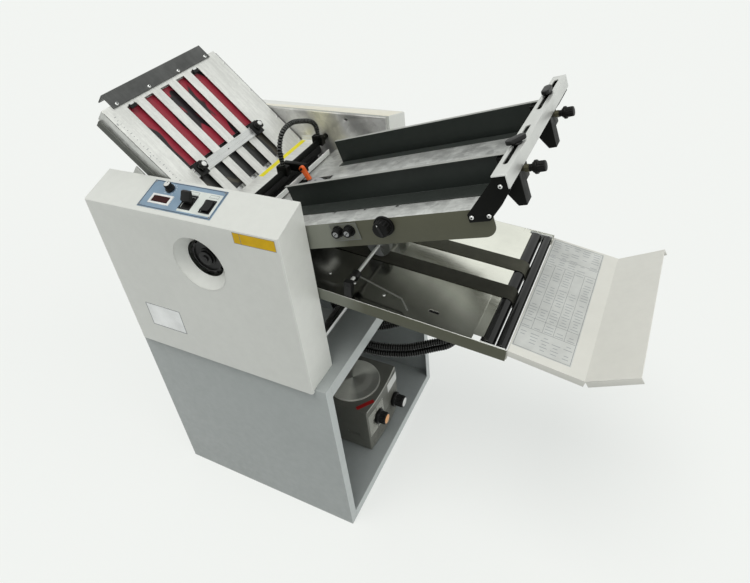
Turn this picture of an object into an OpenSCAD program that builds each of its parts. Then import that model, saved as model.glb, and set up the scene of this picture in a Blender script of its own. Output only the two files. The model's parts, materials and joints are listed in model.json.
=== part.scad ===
// Air-fed paper folding machine on a floor stand, in millimetres.
// +X is the feed and delivery end, -Y the operator's side, +Z up.
// The origin is the middle of the stand's footprint, on the floor.

/* [Stand] */
// Length of the stand along the machine
stand_l = 586; // [540:1:640]
// Width of the stand across the machine
stand_w = 590; // [580:1:600]
// Height of the stand's top shelf
stand_h = 550; // [520:1:580]
// Thickness of the stand's sheet steel
stand_t = 2; // [1.5:0.5:3]
// Width of the folds along the upright edges
stand_fold = 25; // [18:1:35]
// Depth of the top shelf's front and back lips
shelf_lip = 38; // [20:1:60]
// Height of the base shelf above the floor
base_h = 30; // [20:1:60]

/* [Side frames] */
// Distance between the inner faces of the two side frames
frame_gap = 412; // [400:1:416]
// Thickness of each side frame plate
frame_t = 4; // [3:0.5:5]
// Height of the side frames above the stand
frame_h = 460; // [450:1:464]
// Front edge of the side frames, from the stand's middle
frame_x1 = 256; // [235:1:256]
// Back edge of the side frames, behind the stand's middle
frame_x0 = 270; // [250:1:272]
// Width of the foot folded out along each frame's lower edge
frame_foot = 20; // [15:1:30]
// Size of the square tie bars between the frames
tie_size = 12; // [8:1:14]

/* [Side covers] */
// Overall width of the machine over both covers
cover_w = 612; // [604:1:640]
// Back end of the covers, behind the stand's middle
cover_x0 = 280; // [276:1:290]
// Front end of the covers
cover_x1 = 264; // [260:1:280]
// Height of the covers' top where they meet the frames
cover_top = 1016; // [1013:1:1030]
// Height of the covers' outer upper edge
cover_edge = 985; // [960:1:1000]
// How far the covers hang below the stand's top
cover_drop = 6; // [2:1:20]
// Thickness of the cover sheet
cover_t = 2; // [1.5:0.5:3]
// Radius of the covers' upright outer corners
cover_r = 5; // [3:0.5:12]
// Outer diameter of the round dish at the handwheel
dish_d = 142; // [130:1:160]
// Inner diameter of the dish
dish_in = 98; // [92:1:110]
// Depth of the dish
dish_depth = 24; // [15:1:30]

/* [Fold rollers] */
// Diameter of the fold rollers
roller_d = 35; // [30:0.5:36]
// Gap between neighbouring fold rollers
roller_gap = 0.3; // [0.2:0.05:0.6]
// Place of the main roller along the machine
main_x = 30; // [25:1:35]
// Height of the main roller
main_z = 870; // [865:1:874]
// Diameter of the roller journals
journal_d = 15; // [10:0.5:16]
// Outer diameter of the journal bearings
bearing_d = 28; // [22:0.5:29]
// Width of the journal bearings
bearing_w = 9; // [7:0.5:12]
// Running clearance in the bearings, on the radius
run_fit = 0.05; // [0.03:0.01:0.1]
// Gap from a roller's end to the frame
end_gap = 6; // [4:0.5:10]
// Number of teeth on the roller gears
gear_teeth = 14; // [14:1:14]
// Face width of the roller gears
gear_w = 10; // [6:1:14]
// Diameter of the handwheel
wheel_d = 86; // [70:1:88]

/* [Fold plates] */
// Length of fold plate 1 above its datum on the slope
plate_up = 250; // [220:1:260]
// Number of slots in a fold plate
slot_n = 5; // [3:2:5]
// Distance from slot to slot
slot_pitch = 57; // [50:0.5:58]
// Width of a slot
slot_w = 30; // [16:0.5:32]
// How far the slot pattern lies toward the operator
slot_shift = 14; // [0:1:20]
// Thickness of the fold plate sheets
grid_t = 2; // [1.5:0.5:2.5]
// Gap between the two sheets, for the paper
grid_gap = 8; // [6:0.5:9]
// Depth of the dark support rails under plate 1
rail_h = 18; // [12:1:22]
// Length of fold plate 2
plate2_len = 300; // [260:1:310]
// Width of a stop bar along the plate
stop_w = 26; // [18:1:34]
// Thickness of a stop bar
stop_t = 3; // [2:0.5:4]
// Diameter of the stop bar clamp knobs
clamp_d = 26; // [20:1:30]

/* [Feed table] */
// Slope of the feed table, in degrees
feed_slope = 16.3; // [14:0.1:17]
// Height of the feed table surface at its datum
feed_z = 957; // [955:1:962]
// Distance from the feed table's datum to the crossbar
feed_out = 410; // [380:1:430]
// How far the guides and the crossbar's brackets reach past the table's end
feed_lap = 20; // [14:1:26]
// Length of the feed table behind its datum
feed_in = 178; // [170:1:184]
// Depth of the feed table's side flanges
feed_flange = 57; // [50:1:60]
// Thickness of the table sheets
table_t = 2; // [1.5:0.5:2.5]
// Height of the side guides
guide_h = 57; // [40:1:57]
// Thickness of the side guides' sheet
guide_t = 2; // [1.5:0.5:3]
// Width of the side guides' foot
guide_foot = 42; // [20:1:44]
// Place of the near side guide's wall across the machine
guide_near = -120; // [-135:1:-110]
// Place of the far side guide's wall across the machine
guide_far = 102; // [90:1:115]
// Width of the crossbar's top
bar_w = 26; // [22:1:32]
// Depth of the crossbar's front
bar_h = 26; // [20:1:30]
// Thickness of the crossbar
bar_t = 3; // [2:0.5:4]
// Thickness of the black brackets that carry the crossbar
bracket_t = 6; // [4:0.5:8]

/* [Feeder] */
// Diameter of the suction wheel
suction_d = 80; // [70:1:84]
// Width of the suction wheel
suction_w = 60; // [40:1:70]
// Place of the suction wheel along the machine
suction_x = 150; // [146:1:154]
// Diameter of the feed bar over the table's inner end
feed_bar_d = 16; // [12:0.5:20]

/* [Delivery] */
// Fall of the delivery table, in degrees
deliver_slope = 5.7; // [4:0.1:6]
// Length between the belt roller and the inner end roller
deliver_l = 556; // [540:1:560]
// Fall from the feed table's datum to the belt roller's axis
deliver_drop = 165; // [163:1:169]
// Diameter of the belt rollers, without the belt
belt_roller_d = 30; // [26:0.5:32]
// Thickness of the delivery belts
belt_t = 1.5; // [1:0.1:2]
// Width of the delivery belts
belt_w = 42; // [30:1:50]
// Depth of the delivery table's side flanges
deliver_flange = 31; // [28:1:38]
// Length of the catch tray's first leaf
tray_l = 150; // [120:1:180]
// Length of the catch tray's raised flap
flap_l = 101; // [80:1:130]
// Rise of the raised flap, in degrees
flap_tilt = 28; // [15:1:45]
// Depth of the catch tray's side lips
tray_lip = 15; // [8:1:20]

/* [Air pump] */
// Depth of the pump along the machine
pump_l = 190; // [170:1:195]
// Width of the pump across the machine
pump_w = 204; // [190:1:230]
// Height of the pump on its feet
pump_h = 177; // [160:1:190]
// Diameter of the round cap on the pump
pump_cap_d = 165; // [130:1:170]
// Outer diameter of the air hoses over their ribs
hose_d = 20; // [16:0.5:22]
// Outer diameter of the feeder hose over its ribs
loop_d = 13; // [10:0.5:14]

/* [Hidden] */

// Fineness of the round surfaces
$fn = 48;
// Small overshoot that keeps a cut clear of the faces it passes
eps = 1;
// Clearance of pieces that slide or turn past each other
slide_fit = 0.3;

// Half widths and levels of the stand and the frames
sx = stand_l / 2;
sy = stand_w / 2;
fy = frame_gap / 2;
fo = fy + frame_t;
cy = cover_w / 2;
frame_top = stand_h + frame_h;

// Fold roller geometry
rr = roller_d / 2;
rc = roller_d + roller_gap;
a12 = 75;
a23 = 155;
a24 = 255;
r2 = [main_x, main_z];
r1 = r2 + rc * [cos(a12), sin(a12)];
r3 = r2 + rc * [cos(a23), sin(a23)];
r4 = r2 + rc * [cos(a24), sin(a24)];
gear_step = 360 / gear_teeth;
gear_y = fo + bearing_w / 2 + 2;

// Fold plates: datum of plate 1 and mouth of plate 2
p1 = [-65, 984];
plate_tilt = 45;
plate_half = fy - 3;
sheet_z = grid_t * 2 + grid_gap;
upper_mouth = 116;
lower_mouth = 100;
slot_ys = [for (i = [0 : slot_n - 1]) (i - (slot_n - 1) / 2) * slot_pitch - slot_shift];
slot_top = plate_up - 20;
clamp_ys = [slot_ys[0], slot_ys[slot_n - 1]];
p2 = (r3 + r4) / 2;
rail_drop = 30;

// Feed table datum, crossbar and guide positions in the table's own slope
feed_x = 271;
bar_u = feed_out;
bar_v = guide_h + 2.5;
stud_u = bar_u + bar_w / 2 - 1;
stud_d = 8;
carriage_u = bar_u + 2;
carriage_l = bar_w - bar_t - 4;
carriage_v = bar_v - slide_fit;

// Suction wheel and delivery
suction_r = suction_d / 2;
suction_z = feed_z + (suction_x - feed_x) * tan(feed_slope) + 2 - suction_r;
feed_bar_at = [74, 943];
deliver_x = 85;
deliver_z = feed_z - deliver_drop;
br = belt_roller_d / 2;
run_l = deliver_l;
outer_r = 11;
outer_u = run_l + br + belt_t + slide_fit + outer_r + 0.2;
table_v = br - slide_fit;
belt_ys = [-41, 57];
deliver_end = outer_u + outer_r + table_t + 0.5;

// Stand ---------------------------------------------------------------

// One folded side panel, drawn for the near side
module stand_side() {
    color("lightslategray") difference() {
        linear_extrude(height = stand_h - stand_t) {
            translate([-sx, -sy]) square([stand_l, stand_t]);
            for (x = [-sx, sx - stand_t])
                translate([x, -sy]) square([stand_t, stand_fold]);
        }
        for (z = bolt_zs)
            translate([-sx - eps, -bolt_y, z]) rotate([0, 90, 0])
                cylinder(d = bolt_hole, h = stand_t + 2 * eps);
    }
}

module stand_side_near() { stand_side(); }
module stand_side_far() { mirror([0, 1, 0]) stand_side(); }

module stand_end_panel() {
    color("lightslategray")
    difference() {
        translate([-sx + stand_t, -sy + stand_t, base_h])
            cube([stand_t, stand_w - 2 * stand_t, stand_h - stand_t - base_h]);
        for (y = [-1, 1], z = bolt_zs)
            translate([-sx, y * bolt_y, z]) rotate([0, 90, 0])
                cylinder(d = bolt_hole, h = 3 * stand_t);
    }
}

// Bolts through the back folds of the side panels
bolt_hole = 6;
bolt_y = sy - stand_fold / 2;
bolt_zs = [base_h + 60, stand_h / 2, stand_h - 90];

module stand_shelves() {
    color("lightslategray") {
        difference() {
            union() {
                translate([-sx, -sy, stand_h - stand_t]) cube([stand_l, stand_w, stand_t]);
                for (x = [-sx, sx - stand_t])
                    translate([x, -sy + stand_fold, stand_h - shelf_lip])
                        cube([stand_t, stand_w - 2 * stand_fold, shelf_lip]);
            }
            translate([hose_hole[0], hose_hole[1], stand_h - stand_t - eps])
                cylinder(d = hose_hole_d, h = stand_t + 2 * eps);
        }
        translate([-sx + stand_t, -sy + stand_t, base_h - stand_t])
            cube([stand_l - 2 * stand_t, stand_w - 2 * stand_t, stand_t]);
        for (x = [-sx, sx - stand_t])
            translate([x, -sy + stand_fold, 0])
                cube([stand_t, stand_w - 2 * stand_fold, base_h]);
        // Channel that carries the base shelf on the floor
        translate([-channel_w / 2, -sy + stand_fold, 0])
            cube([channel_w, stand_w - 2 * stand_fold, stand_t]);
        for (x = [-channel_w / 2, channel_w / 2 - stand_t])
            translate([x, -sy + stand_fold, 0])
                cube([stand_t, stand_w - 2 * stand_fold, base_h - stand_t]);
    }
}
channel_w = 80;

// Hole in the stand's top where the hoses pass
hose_hole = [150, 13];
hose_hole_d = 90;

// Side frames ---------------------------------------------------------

frame_screw_u = [-150, -60];
cover_screw_z = [stand_h + 60, frame_top - 60];

// Outline of a side frame in the XZ plane
module frame_outline() {
    polygon([[-frame_x0, stand_h], [frame_x1, stand_h], [frame_x1, frame_top],
        [-frame_x0 + 107, frame_top], [-frame_x0 + 85, frame_top + 22],
        [-frame_x0 + 65, frame_top]]);
}

// Places of every bearing in the side frames
bearing_at = [r1, r2, r3, r4, [suction_x, suction_z], [deliver_x, deliver_z]];

module side_frame() {
    difference() {
        translate([0, -fy, 0]) rotate([90, 0, 0])
            linear_extrude(height = frame_t) frame_outline();
        for (p = bearing_at)
            translate([p[0], -fy + eps, p[1]]) rotate([90, 0, 0])
                cylinder(d = bearing_d, h = frame_t + 2 * eps);
        translate([142, -fy + eps, frame_top - 7 - 6]) rotate([90, 0, 0])
            cylinder(d = 11, h = frame_t + 2 * eps);
    }
    translate([-frame_x0, -fo - frame_foot, stand_h])
        cube([frame_x0 + frame_x1, frame_foot, frame_t]);
}

module side_frame_near() { color("gainsboro") side_frame(); }
module side_frame_far() { color("gainsboro") mirror([0, 1, 0]) side_frame(); }

// Places of the tie bars under plate 1, along the plate
tie_x1 = [-30, 80];

// Square bars that tie the frames together and carry the fold plates
module tie_bars() {
    color("silver") {
        on_plate1()
            for (x = tie_x1)
                translate([x - tie_size / 2, -fy, -sheet_z - tie_size])
                    cube([tie_size, frame_gap, tie_size]);
        on_plate2()
            for (x = [-plate2_len + 60, -60])
                translate([x - tie_size / 2, -fy, -sheet_z - tie_size])
                    cube([tie_size, frame_gap, tie_size]);
        for (p = [[-250, 620], [-250, 760], [236, 620]])
            translate([p[0] - tie_size, -fy, p[1]])
                cube([2 * tie_size, frame_gap, tie_size]);
    }
}

// Side covers ---------------------------------------------------------

// Outline of the cover seen from above, with rounded outer corners
module cover_plan(inset) {
    r = cover_r - inset;
    x0 = -cover_x0 + inset;
    x1 = cover_x1 - inset;
    y0 = -cy + inset;
    translate([x0 + r, y0]) square([x1 - x0 - 2 * r, cy - inset - fy + eps]);
    translate([x0, y0 + r]) square([x1 - x0, cy - inset - r - fy + eps]);
    for (x = [x0 + r, x1 - r])
        translate([x, y0 + r]) circle(r = r);
}

// Solid under the sloping top, down to a given level
module cover_roof(down, low) {
    rotate([90, 0, 90])
        translate([0, 0, -cover_x0 - eps])
            linear_extrude(height = cover_x0 + cover_x1 + 2 * eps)
                polygon([[-cy - eps, low], [-fy + 1, low],
                    [-fy + 1, cover_top - down], [-cy, cover_edge - down],
                    [-cy - eps, cover_edge - down]]);
}

// Returns that lie on the frame and take the cover screws
module cover_returns() {
    for (x = [-cover_x0 + cover_t, cover_x1 - cover_t - 16])
        translate([x, -fo - cover_t, stand_h + frame_t + 1])
            cube([16, cover_t, frame_h - frame_t - 12]);
    translate([-cover_x0 + cover_t, -fo - cover_t, frame_top - 14])
        cube([cover_x0 + cover_x1 - 2 * cover_t, cover_t,
            roof_at(fo + cover_t) - cover_t / 2 - frame_top + 14]);
}
// Height of the covers' sloping top at a distance from the middle
function roof_at(y) = cover_edge + (cy - y) * (cover_top - cover_edge) / (cy - fy + 1);

module side_cover(dish) {
    low = stand_h - cover_drop;
    difference() {
        intersection() {
            translate([0, 0, low]) linear_extrude(height = cover_top - low) cover_plan(0);
            cover_roof(0, low);
        }
        difference() {
            intersection() {
                translate([0, 0, low - eps])
                    linear_extrude(height = cover_top - low) cover_plan(cover_t);
                cover_roof(cover_t, low - eps);
            }
            if (dish)
                translate([r2[0], -cy + dish_depth, r2[1]]) rotate([90, 0, 0])
                    cylinder(d1 = dish_in + 2 * cover_t, d2 = dish_d + 2 * cover_t,
                        h = dish_depth);
        }
        if (dish)
            translate([r2[0], -cy + dish_depth, r2[1]]) rotate([90, 0, 0]) {
                translate([0, 0, -eps]) cylinder(d = dish_in, h = 2 * eps);
                cylinder(d1 = dish_in, d2 = dish_d, h = dish_depth);
                translate([0, 0, dish_depth - 0.01]) cylinder(d = dish_d, h = eps);
            }
        translate([-cover_x0 - eps, -sy - 1, low - eps])
            cube([cover_x0 + cover_x1 + 2 * eps, sy, cover_drop + eps + 0.5]);
        translate([-cover_x0 - eps, -fo, low - eps])
            cube([cover_x0 + cover_x1 + 2 * eps, frame_t + 2 * eps + 4,
                cover_top - low + 2 * eps]);
    }
    cover_returns();
}

module side_cover_near() { color("whitesmoke") side_cover(true); }
module side_cover_far() { color("whitesmoke") mirror([0, 1, 0]) side_cover(false); }

// Control panel -------------------------------------------------------

roof_tilt = atan((cover_top - cover_edge) / (cy - fy + 1));
panel_l = 208;
panel_w = 79;
panel_t = 1.5;
panel_x = -15;
panel_y = (cy - fy) / (2 * cos(roof_tilt));

// Frame of the sloping cover top: x along, y up the slope, z out of it
module on_roof() {
    translate([panel_x, -cy, cover_edge]) rotate([roof_tilt, 0, 0])
        translate([0, panel_y, 0]) children();
}

paddle_at = [24, -7];
rocker_at = [79, -9];
speed_at = [-44, 18];
display_at = [-51, -13];

module control_panel() {
    color("steelblue") on_roof() difference() {
        union() {
            translate([-panel_l / 2, -panel_w / 2, 0]) cube([panel_l, panel_w, panel_t]);
            translate([display_at[0] - 30, display_at[1] - 13.5, panel_t])
                cube([60, 27, 2]);
            translate([paddle_at[0] - 16, paddle_at[1] - 20, panel_t])
                cube([32, 40, 2]);
            translate([rocker_at[0] - 14, rocker_at[1] - 18, panel_t])
                cube([28, 36, 2]);
            translate([speed_at[0], speed_at[1], panel_t])
                cylinder(d = 14, h = 2);
        }
        translate([display_at[0] - 24, display_at[1] - 9, panel_t + 0.8])
            cube([48, 18, 2]);
        translate([paddle_at[0] - 13.5, paddle_at[1] - 16, panel_t])
            cube([27, 32, 3]);
        translate([rocker_at[0] - 11.8, rocker_at[1] - 15.5, panel_t])
            cube([23.6, 31, 3]);
    }
}

// Turned knob with a skirt and a grip, on its own axis
module knob(d, h, grip) {
    difference() {
        union() {
            cylinder(d = d, h = h * 0.28);
            cylinder(d = d * 0.8, h = h);
        }
        for (i = [0 : grip - 1]) rotate([0, 0, i * 360 / grip])
            translate([d * 0.44, 0, h * 0.28 + 0.5]) cylinder(d = d * 0.14, h = h, $fn = 24);
    }
}

module speed_knob() {
    color("black") on_roof()
        translate([speed_at[0], speed_at[1], panel_t + 2 + slide_fit]) knob(22, 18, 8);
}

// Paddle switch: a wedge on a round pivot
module paddle_switch() {
    color("black") on_roof()
        translate([paddle_at[0], paddle_at[1], panel_t + 3.5 + slide_fit])
            rotate([0, 90, 0]) {
                translate([0, 0, -13]) cylinder(d = 7, h = 26);
                translate([0, 0, -12]) linear_extrude(height = 24)
                    polygon([[2, -3], [2, 3], [-6, 9], [-19, 15], [-22, 9], [-8, -6]]);
            }
}

// Rocker switch: a shallow curved cap on its pivot
module rocker_switch() {
    color("black") on_roof()
        translate([rocker_at[0], rocker_at[1], panel_t + 1.5 + slide_fit])
            rotate([0, 90, 0])
                linear_extrude(height = 22, center = true)
                    polygon([[-1.5, -13.5], [-5, -14], [-2.5, 0], [-5, 14],
                        [-1.5, 13.5], [1.5, 1], [1.5, -1]]);
}

// Fold rollers --------------------------------------------------------

module along_y(p, y) {
    translate([p[0], y, p[1]]) rotate([-90, 0, 0]) children();
}

// Bearings in both frames and on the delivery table
module bearings() {
    color("silver") {
        for (p = bearing_at, s = [0, 1]) mirror([0, s, 0])
            along_y(p, -fo - (bearing_w - frame_t) / 2) difference() {
                cylinder(d = bearing_d, h = bearing_w);
                translate([0, 0, -eps])
                    cylinder(d = journal_d + 2 * run_fit, h = bearing_w + 2 * eps);
            }
        on_delivery() for (s = [0, 1]) mirror([0, s, 0]) end_bearing();
    }
}

end_pin = 10;
end_block = [52, 5, 24];

// Plain block that carries both end rollers, on the near flange
module end_bearing() {
    difference() {
        translate([run_l - 14, -fy + table_t, -12]) cube(end_block);
        for (x = [run_l, outer_u])
            translate([x, -fy + table_t - eps, x == run_l ? 0 : outer_v])
                rotate([-90, 0, 0])
                    cylinder(d = end_pin + 2 * run_fit, h = end_block[1] + 2 * eps);
    }
}

// Steel roller on two journals
module roller_shape(p, y0, y1) {
    along_y(p, -fy + end_gap) cylinder(d = roller_d, h = frame_gap - 2 * end_gap);
    along_y(p, y0) cylinder(d = journal_d, h = y1 - y0);
}

// One gear tooth as a tapered flank pair, then the whole wheel
gear_root = rr - 3.2;
gear_tip = rr + 1.6;
module gear(phase) {
    linear_extrude(height = gear_w) {
        circle(r = gear_root + 0.2);
        for (i = [0 : gear_teeth - 1]) rotate([0, 0, phase + i * gear_step])
            polygon([[gear_root - 1, -2.3], [gear_tip, -0.8], [gear_tip, 0.8],
                [gear_root - 1, 2.3]]);
    }
}

// Gear outside the far frame, turned to mesh with its neighbour
module roller_gear(p, phase) {
    translate([p[0], gear_y + gear_w, p[1]]) rotate([90, 0, 0]) gear(phase);
}

function mate(a) = 2 * a + 180 + gear_step / 2;
journal_end = fo + bearing_w;
gear_end = gear_y + gear_w + 3;
hub_y = cy - dish_depth + 5;

module fold_roller_1() {
    color("dimgray") { roller_shape(r1, -journal_end, gear_end); roller_gear(r1, mate(a12)); }
}
module fold_roller_2() {
    color("dimgray") { roller_shape(r2, -hub_y, gear_end); roller_gear(r2, 0); }
}
module fold_roller_3() {
    color("dimgray") { roller_shape(r3, -journal_end, gear_end); roller_gear(r3, mate(a23)); }
}
module fold_roller_4() {
    color("dimgray") { roller_shape(r4, -journal_end, gear_end); roller_gear(r4, mate(a24)); }
}

// Handwheel in the dish, with a hub, a rim and finger scallops
wheel_y = cy - dish_depth - 4;
module handwheel() {
    color("black")
    translate([r2[0], -wheel_y, r2[1]]) rotate([90, 0, 0]) difference() {
        union() {
            translate([0, 0, -12]) cylinder(d = wheel_d, h = 12);
            translate([0, 0, -22]) cylinder(d = wheel_d * 0.5, h = 22);
            cylinder(d = wheel_d * 0.42, h = 6);
        }
        translate([0, 0, -22 - eps]) cylinder(d = journal_d, h = 40);
        translate([0, 0, -4]) difference() {
            cylinder(d = wheel_d - 14, h = 5);
            translate([0, 0, -eps]) cylinder(d = wheel_d * 0.5, h = 7);
        }
        for (i = [0 : 11]) rotate([0, 0, i * 30])
            translate([wheel_d / 2 + 2, 0, -14]) cylinder(d = 12, h = 20, $fn = 24);
    }
}

// Fold plates ---------------------------------------------------------

// Frame of plate 1: x down the plate, z out of its upper face
module on_plate1() {
    translate([p1[0], 0, p1[1]]) rotate([0, plate_tilt, 0]) children();
}

// Frame of plate 2: x up toward the rollers, z out of its upper face
module on_plate2() {
    translate([p2[0], 0, p2[1]]) rotate([0, -plate_tilt, 0])
        translate([0, 0, sheet_z / 2]) children();
}

// Slotted sheet from x0 to x1, its slots from s0 to s1
module slotted_sheet(x0, x1, s0, s1) {
    difference() {
        translate([x0, -plate_half, 0]) cube([x1 - x0, 2 * plate_half, grid_t]);
        for (y = slot_ys)
            translate([s0, y - slot_w / 2, -eps])
                cube([s1 - s0, slot_w, grid_t + 2 * eps]);
    }
}

module plate1_upper_grid() {
    color("lightgray") on_plate1() translate([0, 0, -grid_t])
        slotted_sheet(-plate_up, upper_mouth, -slot_top, lower_mouth - 16);
}

// Lower sheet with walls turned up against the upper sheet
module tray_sheet(x0, x1, s0, s1, short = 0) {
    slotted_sheet(x0, x1, s0, s1);
    for (y = [-plate_half, plate_half - grid_t])
        translate([x0, y, grid_t]) cube([x1 - x0, grid_t, grid_gap - short]);
}

backing_t = 1;
module plate1_lower_grid() {
    color("silver") on_plate1() translate([0, 0, -sheet_z]) {
        tray_sheet(-plate_up, lower_mouth, -slot_top, lower_mouth - 16);
        // Side flanges that stand on the dark rails, short of the tie bars
        for (y = [-plate_half, plate_half - grid_t])
            translate([-plate_up, y, sheet_z - rail_drop])
                cube([plate_up + tie_x1[0] - tie_size / 2 - 4, grid_t, rail_drop - sheet_z]);
        // Backing under the slots, above and below the upper tie bar
        for (s = [[-slot_top - 6, tie_x1[0] - tie_size / 2 - 1],
                [tie_x1[0] + tie_size / 2 + 1, tie_x1[1] - tie_size / 2 - 1]])
            translate([s[0], -plate_half + 12, -backing_t])
                cube([s[1] - s[0], 2 * plate_half - 24, backing_t]);
    }
}

rail_w = 6;
module plate1_side_rails() {
    color("darkslategray") on_plate1() difference() {
        union() {
            for (y = [-fy, fy - rail_w])
                translate([-plate_up + 4, y, -rail_drop - rail_h])
                    cube([plate_up + 56, rail_w, rail_h]);
            translate([-plate_up + 4, -fy + rail_w, -rail_drop - rail_h])
                cube([4, frame_gap - 2 * rail_w, rail_h + rail_drop - sheet_z]);
        }
        for (x = [-14, 30], y = [-fy - eps, fy - rail_w - eps])
            translate([x, y, -rail_drop - rail_h / 2]) rotate([-90, 0, 0])
                cylinder(d = 5, h = rail_w + 2 * eps);
    }
}

end_bar_y = 175;
end_bar_w = 41;
end_bar_t = 3;
end_screw_y = [-160, -53, 53, 160];
module plate1_end_bar() {
    color("dimgray") on_plate1() difference() {
        union() {
            translate([-plate_up - end_bar_w + 10, -end_bar_y, 0])
                cube([end_bar_w, 2 * end_bar_y, end_bar_t]);
            translate([-plate_up - end_bar_w + 10, -end_bar_y, -22])
                cube([end_bar_t, 2 * end_bar_y, 22]);
        }
        for (y = end_screw_y)
            translate([-plate_up + 4, y, -eps]) cylinder(d = 5, h = end_bar_t + 2 * eps);
    }
}

// Stop bar on the upper face, with clamps that ride in the outer slots
stop_clamp = [36, 22, 12];
module stop_bar(tabs) {
    z0 = slide_fit;
    difference() {
        translate([-stop_w, clamp_ys[0] - slot_w / 2 - 1, z0])
            cube([stop_w, clamp_ys[1] - clamp_ys[0] + slot_w + 2, stop_t]);
        translate([-stop_w / 2, (clamp_ys[0] + clamp_ys[1]) / 2, z0 - eps])
            cylinder(d = 4, h = stop_t + 2 * eps);
    }
    for (y = clamp_ys) {
        difference() {
            translate([-stop_w - 4, y - stop_clamp[1] / 2, z0 + stop_t])
                cube(stop_clamp);
            translate([-stop_w / 2, y, z0]) cylinder(d = stud_d + 2 * run_fit, h = 40);
        }
        translate([-stop_w + 2, y - slot_w / 2 + 2, -sheet_z + grid_t + 1])
            cube([stop_w - 4, slot_w - 4, sheet_z - grid_t - 1 + z0]);
    }
    for (y = slot_ys)
        if (y != clamp_ys[0] && y != clamp_ys[1])
            translate([-4, y - slot_w / 2 + 4, -sheet_z + grid_t + 1])
                cube([4, slot_w - 8, sheet_z - grid_t - 1 + z0]);
    if (tabs)
        for (y = clamp_ys)
            translate([-stop_w / 2 - 2, y - 8, z0 + stop_t + stop_clamp[2]])
                cube([4, 16, 14]);
}

module plate1_stop_bar() { color("silver") on_plate1() stop_bar(false); }

// Clamp knob: stud, lobed grip and a centre screw
module clamp_knob(y) {
    z1 = slide_fit + stop_t + stop_clamp[2] + slide_fit;
    on_plate1() translate([-stop_w / 2, y, 0]) {
        translate([0, 0, stop_t + 2 * slide_fit])
            cylinder(d = stud_d, h = z1 - stop_t - 2 * slide_fit + eps);
        translate([0, 0, z1]) knob(clamp_d, 16, 6);
        translate([0, 0, z1 + 16]) cylinder(d = 8, h = 2);
    }
}
module plate1_knob_near() { color("black") clamp_knob(clamp_ys[0]); }
module plate1_knob_far() { color("black") clamp_knob(clamp_ys[1]); }

// Second fold plate, under the rollers: two sheets, their walls and an end bar
mouth2 = -4;
// The upper sheet lies in the tray as a piece of its own, a seam away all round
seam = 0.15;
module plate2_cassette() {
    color("lightgray") on_plate2() {
        translate([0, 0, -grid_t])
            slotted_sheet(-plate2_len + seam, mouth2, -plate2_len + 20, mouth2 - 40);
        translate([0, 0, -sheet_z])
            tray_sheet(-plate2_len, mouth2, -plate2_len + 20, mouth2 - 40, seam);
        translate([-plate2_len - 12, -end_bar_y, seam])
            cube([22, 2 * end_bar_y, end_bar_t]);
        translate([-plate2_len - 12, -end_bar_y, -sheet_z])
            cube([12, 2 * end_bar_y, sheet_z + seam + eps]);
    }
}
stop2_x = -120;
module plate2_stop_bar() {
    color("silver") on_plate2() translate([stop2_x, 0, 0]) stop_bar(true);
}

// Sheet over the rollers, with ears against the frames
cover_gap_x = (p1[0] + p1[1] + 0.6);
roof_z = r1[1] + rr + 1.4;
roof_x0 = cover_gap_x - roof_z;
module roller_cover() {
    color("silver") {
        translate([roof_x0, -fy, roof_z]) cube([48, frame_gap, grid_t]);
        for (y = [-fy, fy - grid_t])
            translate([roof_x0, y, roof_z + grid_t]) cube([48, grid_t, 12]);
    }
}

// Feeder --------------------------------------------------------------

lever_y = 10;
lever_w = 9;
bar_block = 30;

// Dark bar above the table's inner end, with its clamp blocks
module feed_bar() {
    color("black") {
        along_y(feed_bar_at, -fy) cylinder(d = feed_bar_d, h = frame_gap);
        for (y = [lever_y - 22, 158])
            translate([feed_bar_at[0] - 13, y, feed_bar_at[1] - 5])
                difference() {
                    cube([bar_block, 16, 24]);
                    translate([13, -eps, 5]) rotate([-90, 0, 0])
                        cylinder(d = feed_bar_d - 0.02, h = 18 + eps);
                }
        translate([feed_bar_at[0] - 13, lever_y + lever_w, feed_bar_at[1] - 5])
            difference() {
                cube([bar_block + 34, 12, 20]);
                translate([13, -eps, 5]) rotate([-90, 0, 0])
                    cylinder(d = feed_bar_d - 0.02, h = 14 + eps);
            }
        along_y(lever_axis, lever_y - 4) cylinder(d = 6, h = lever_w + 5);
    }
}

// Orange lever that hangs from its pin beside the suction wheel
lever_axis = [feed_bar_at[0] + 44, feed_bar_at[1] + 8];
module feed_lever() {
    color("orangered")
    translate([lever_axis[0], lever_y, lever_axis[1]]) rotate([-90, 0, 0])
        linear_extrude(height = lever_w - slide_fit) difference() {
            union() {
                circle(d = 14);
                polygon([[-6, 0], [6, -3], [21, 26], [12, 29]]);
            }
            circle(d = 6 + 2 * run_fit);
        }
}

strip_x = 100;
module register_strip() {
    color("white")
    translate([strip_x, -fy, feed_z + (strip_x - feed_x) * tan(feed_slope) + 4])
        cube([3, fy + 168, 14]);
    color("white")
    translate([strip_x, -fy, feed_z + (strip_x + 20 - feed_x) * tan(feed_slope) + slide_fit])
        cube([20, 6, 12]);
}

// Suction wheel: a drum with rows of radial holes on a long shaft
module suction_wheel() {
    color("darkgray") {
        along_y([suction_x, suction_z], -suction_w / 2) difference() {
            union() {
                cylinder(d = suction_d, h = suction_w);
                translate([0, 0, -12]) cylinder(d = 34, h = suction_w + 24);
            }
            for (i = [0 : 11], z = [suction_w * 0.25, suction_w * 0.5, suction_w * 0.75])
                rotate([0, 0, i * 30]) translate([suction_r - 10, 0, z])
                    rotate([0, 90, 0]) cylinder(d = 6, h = 12, $fn = 24);
        }
        along_y([suction_x, suction_z], -journal_end)
            cylinder(d = journal_d, h = 2 * journal_end);
    }
}

// Feed table ----------------------------------------------------------

// Frame of the feed table: x up the slope, z out of its surface
module on_feed() {
    translate([feed_x, 0, feed_z]) rotate([0, -feed_slope, 0]) children();
}

end_r = 24;
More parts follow.
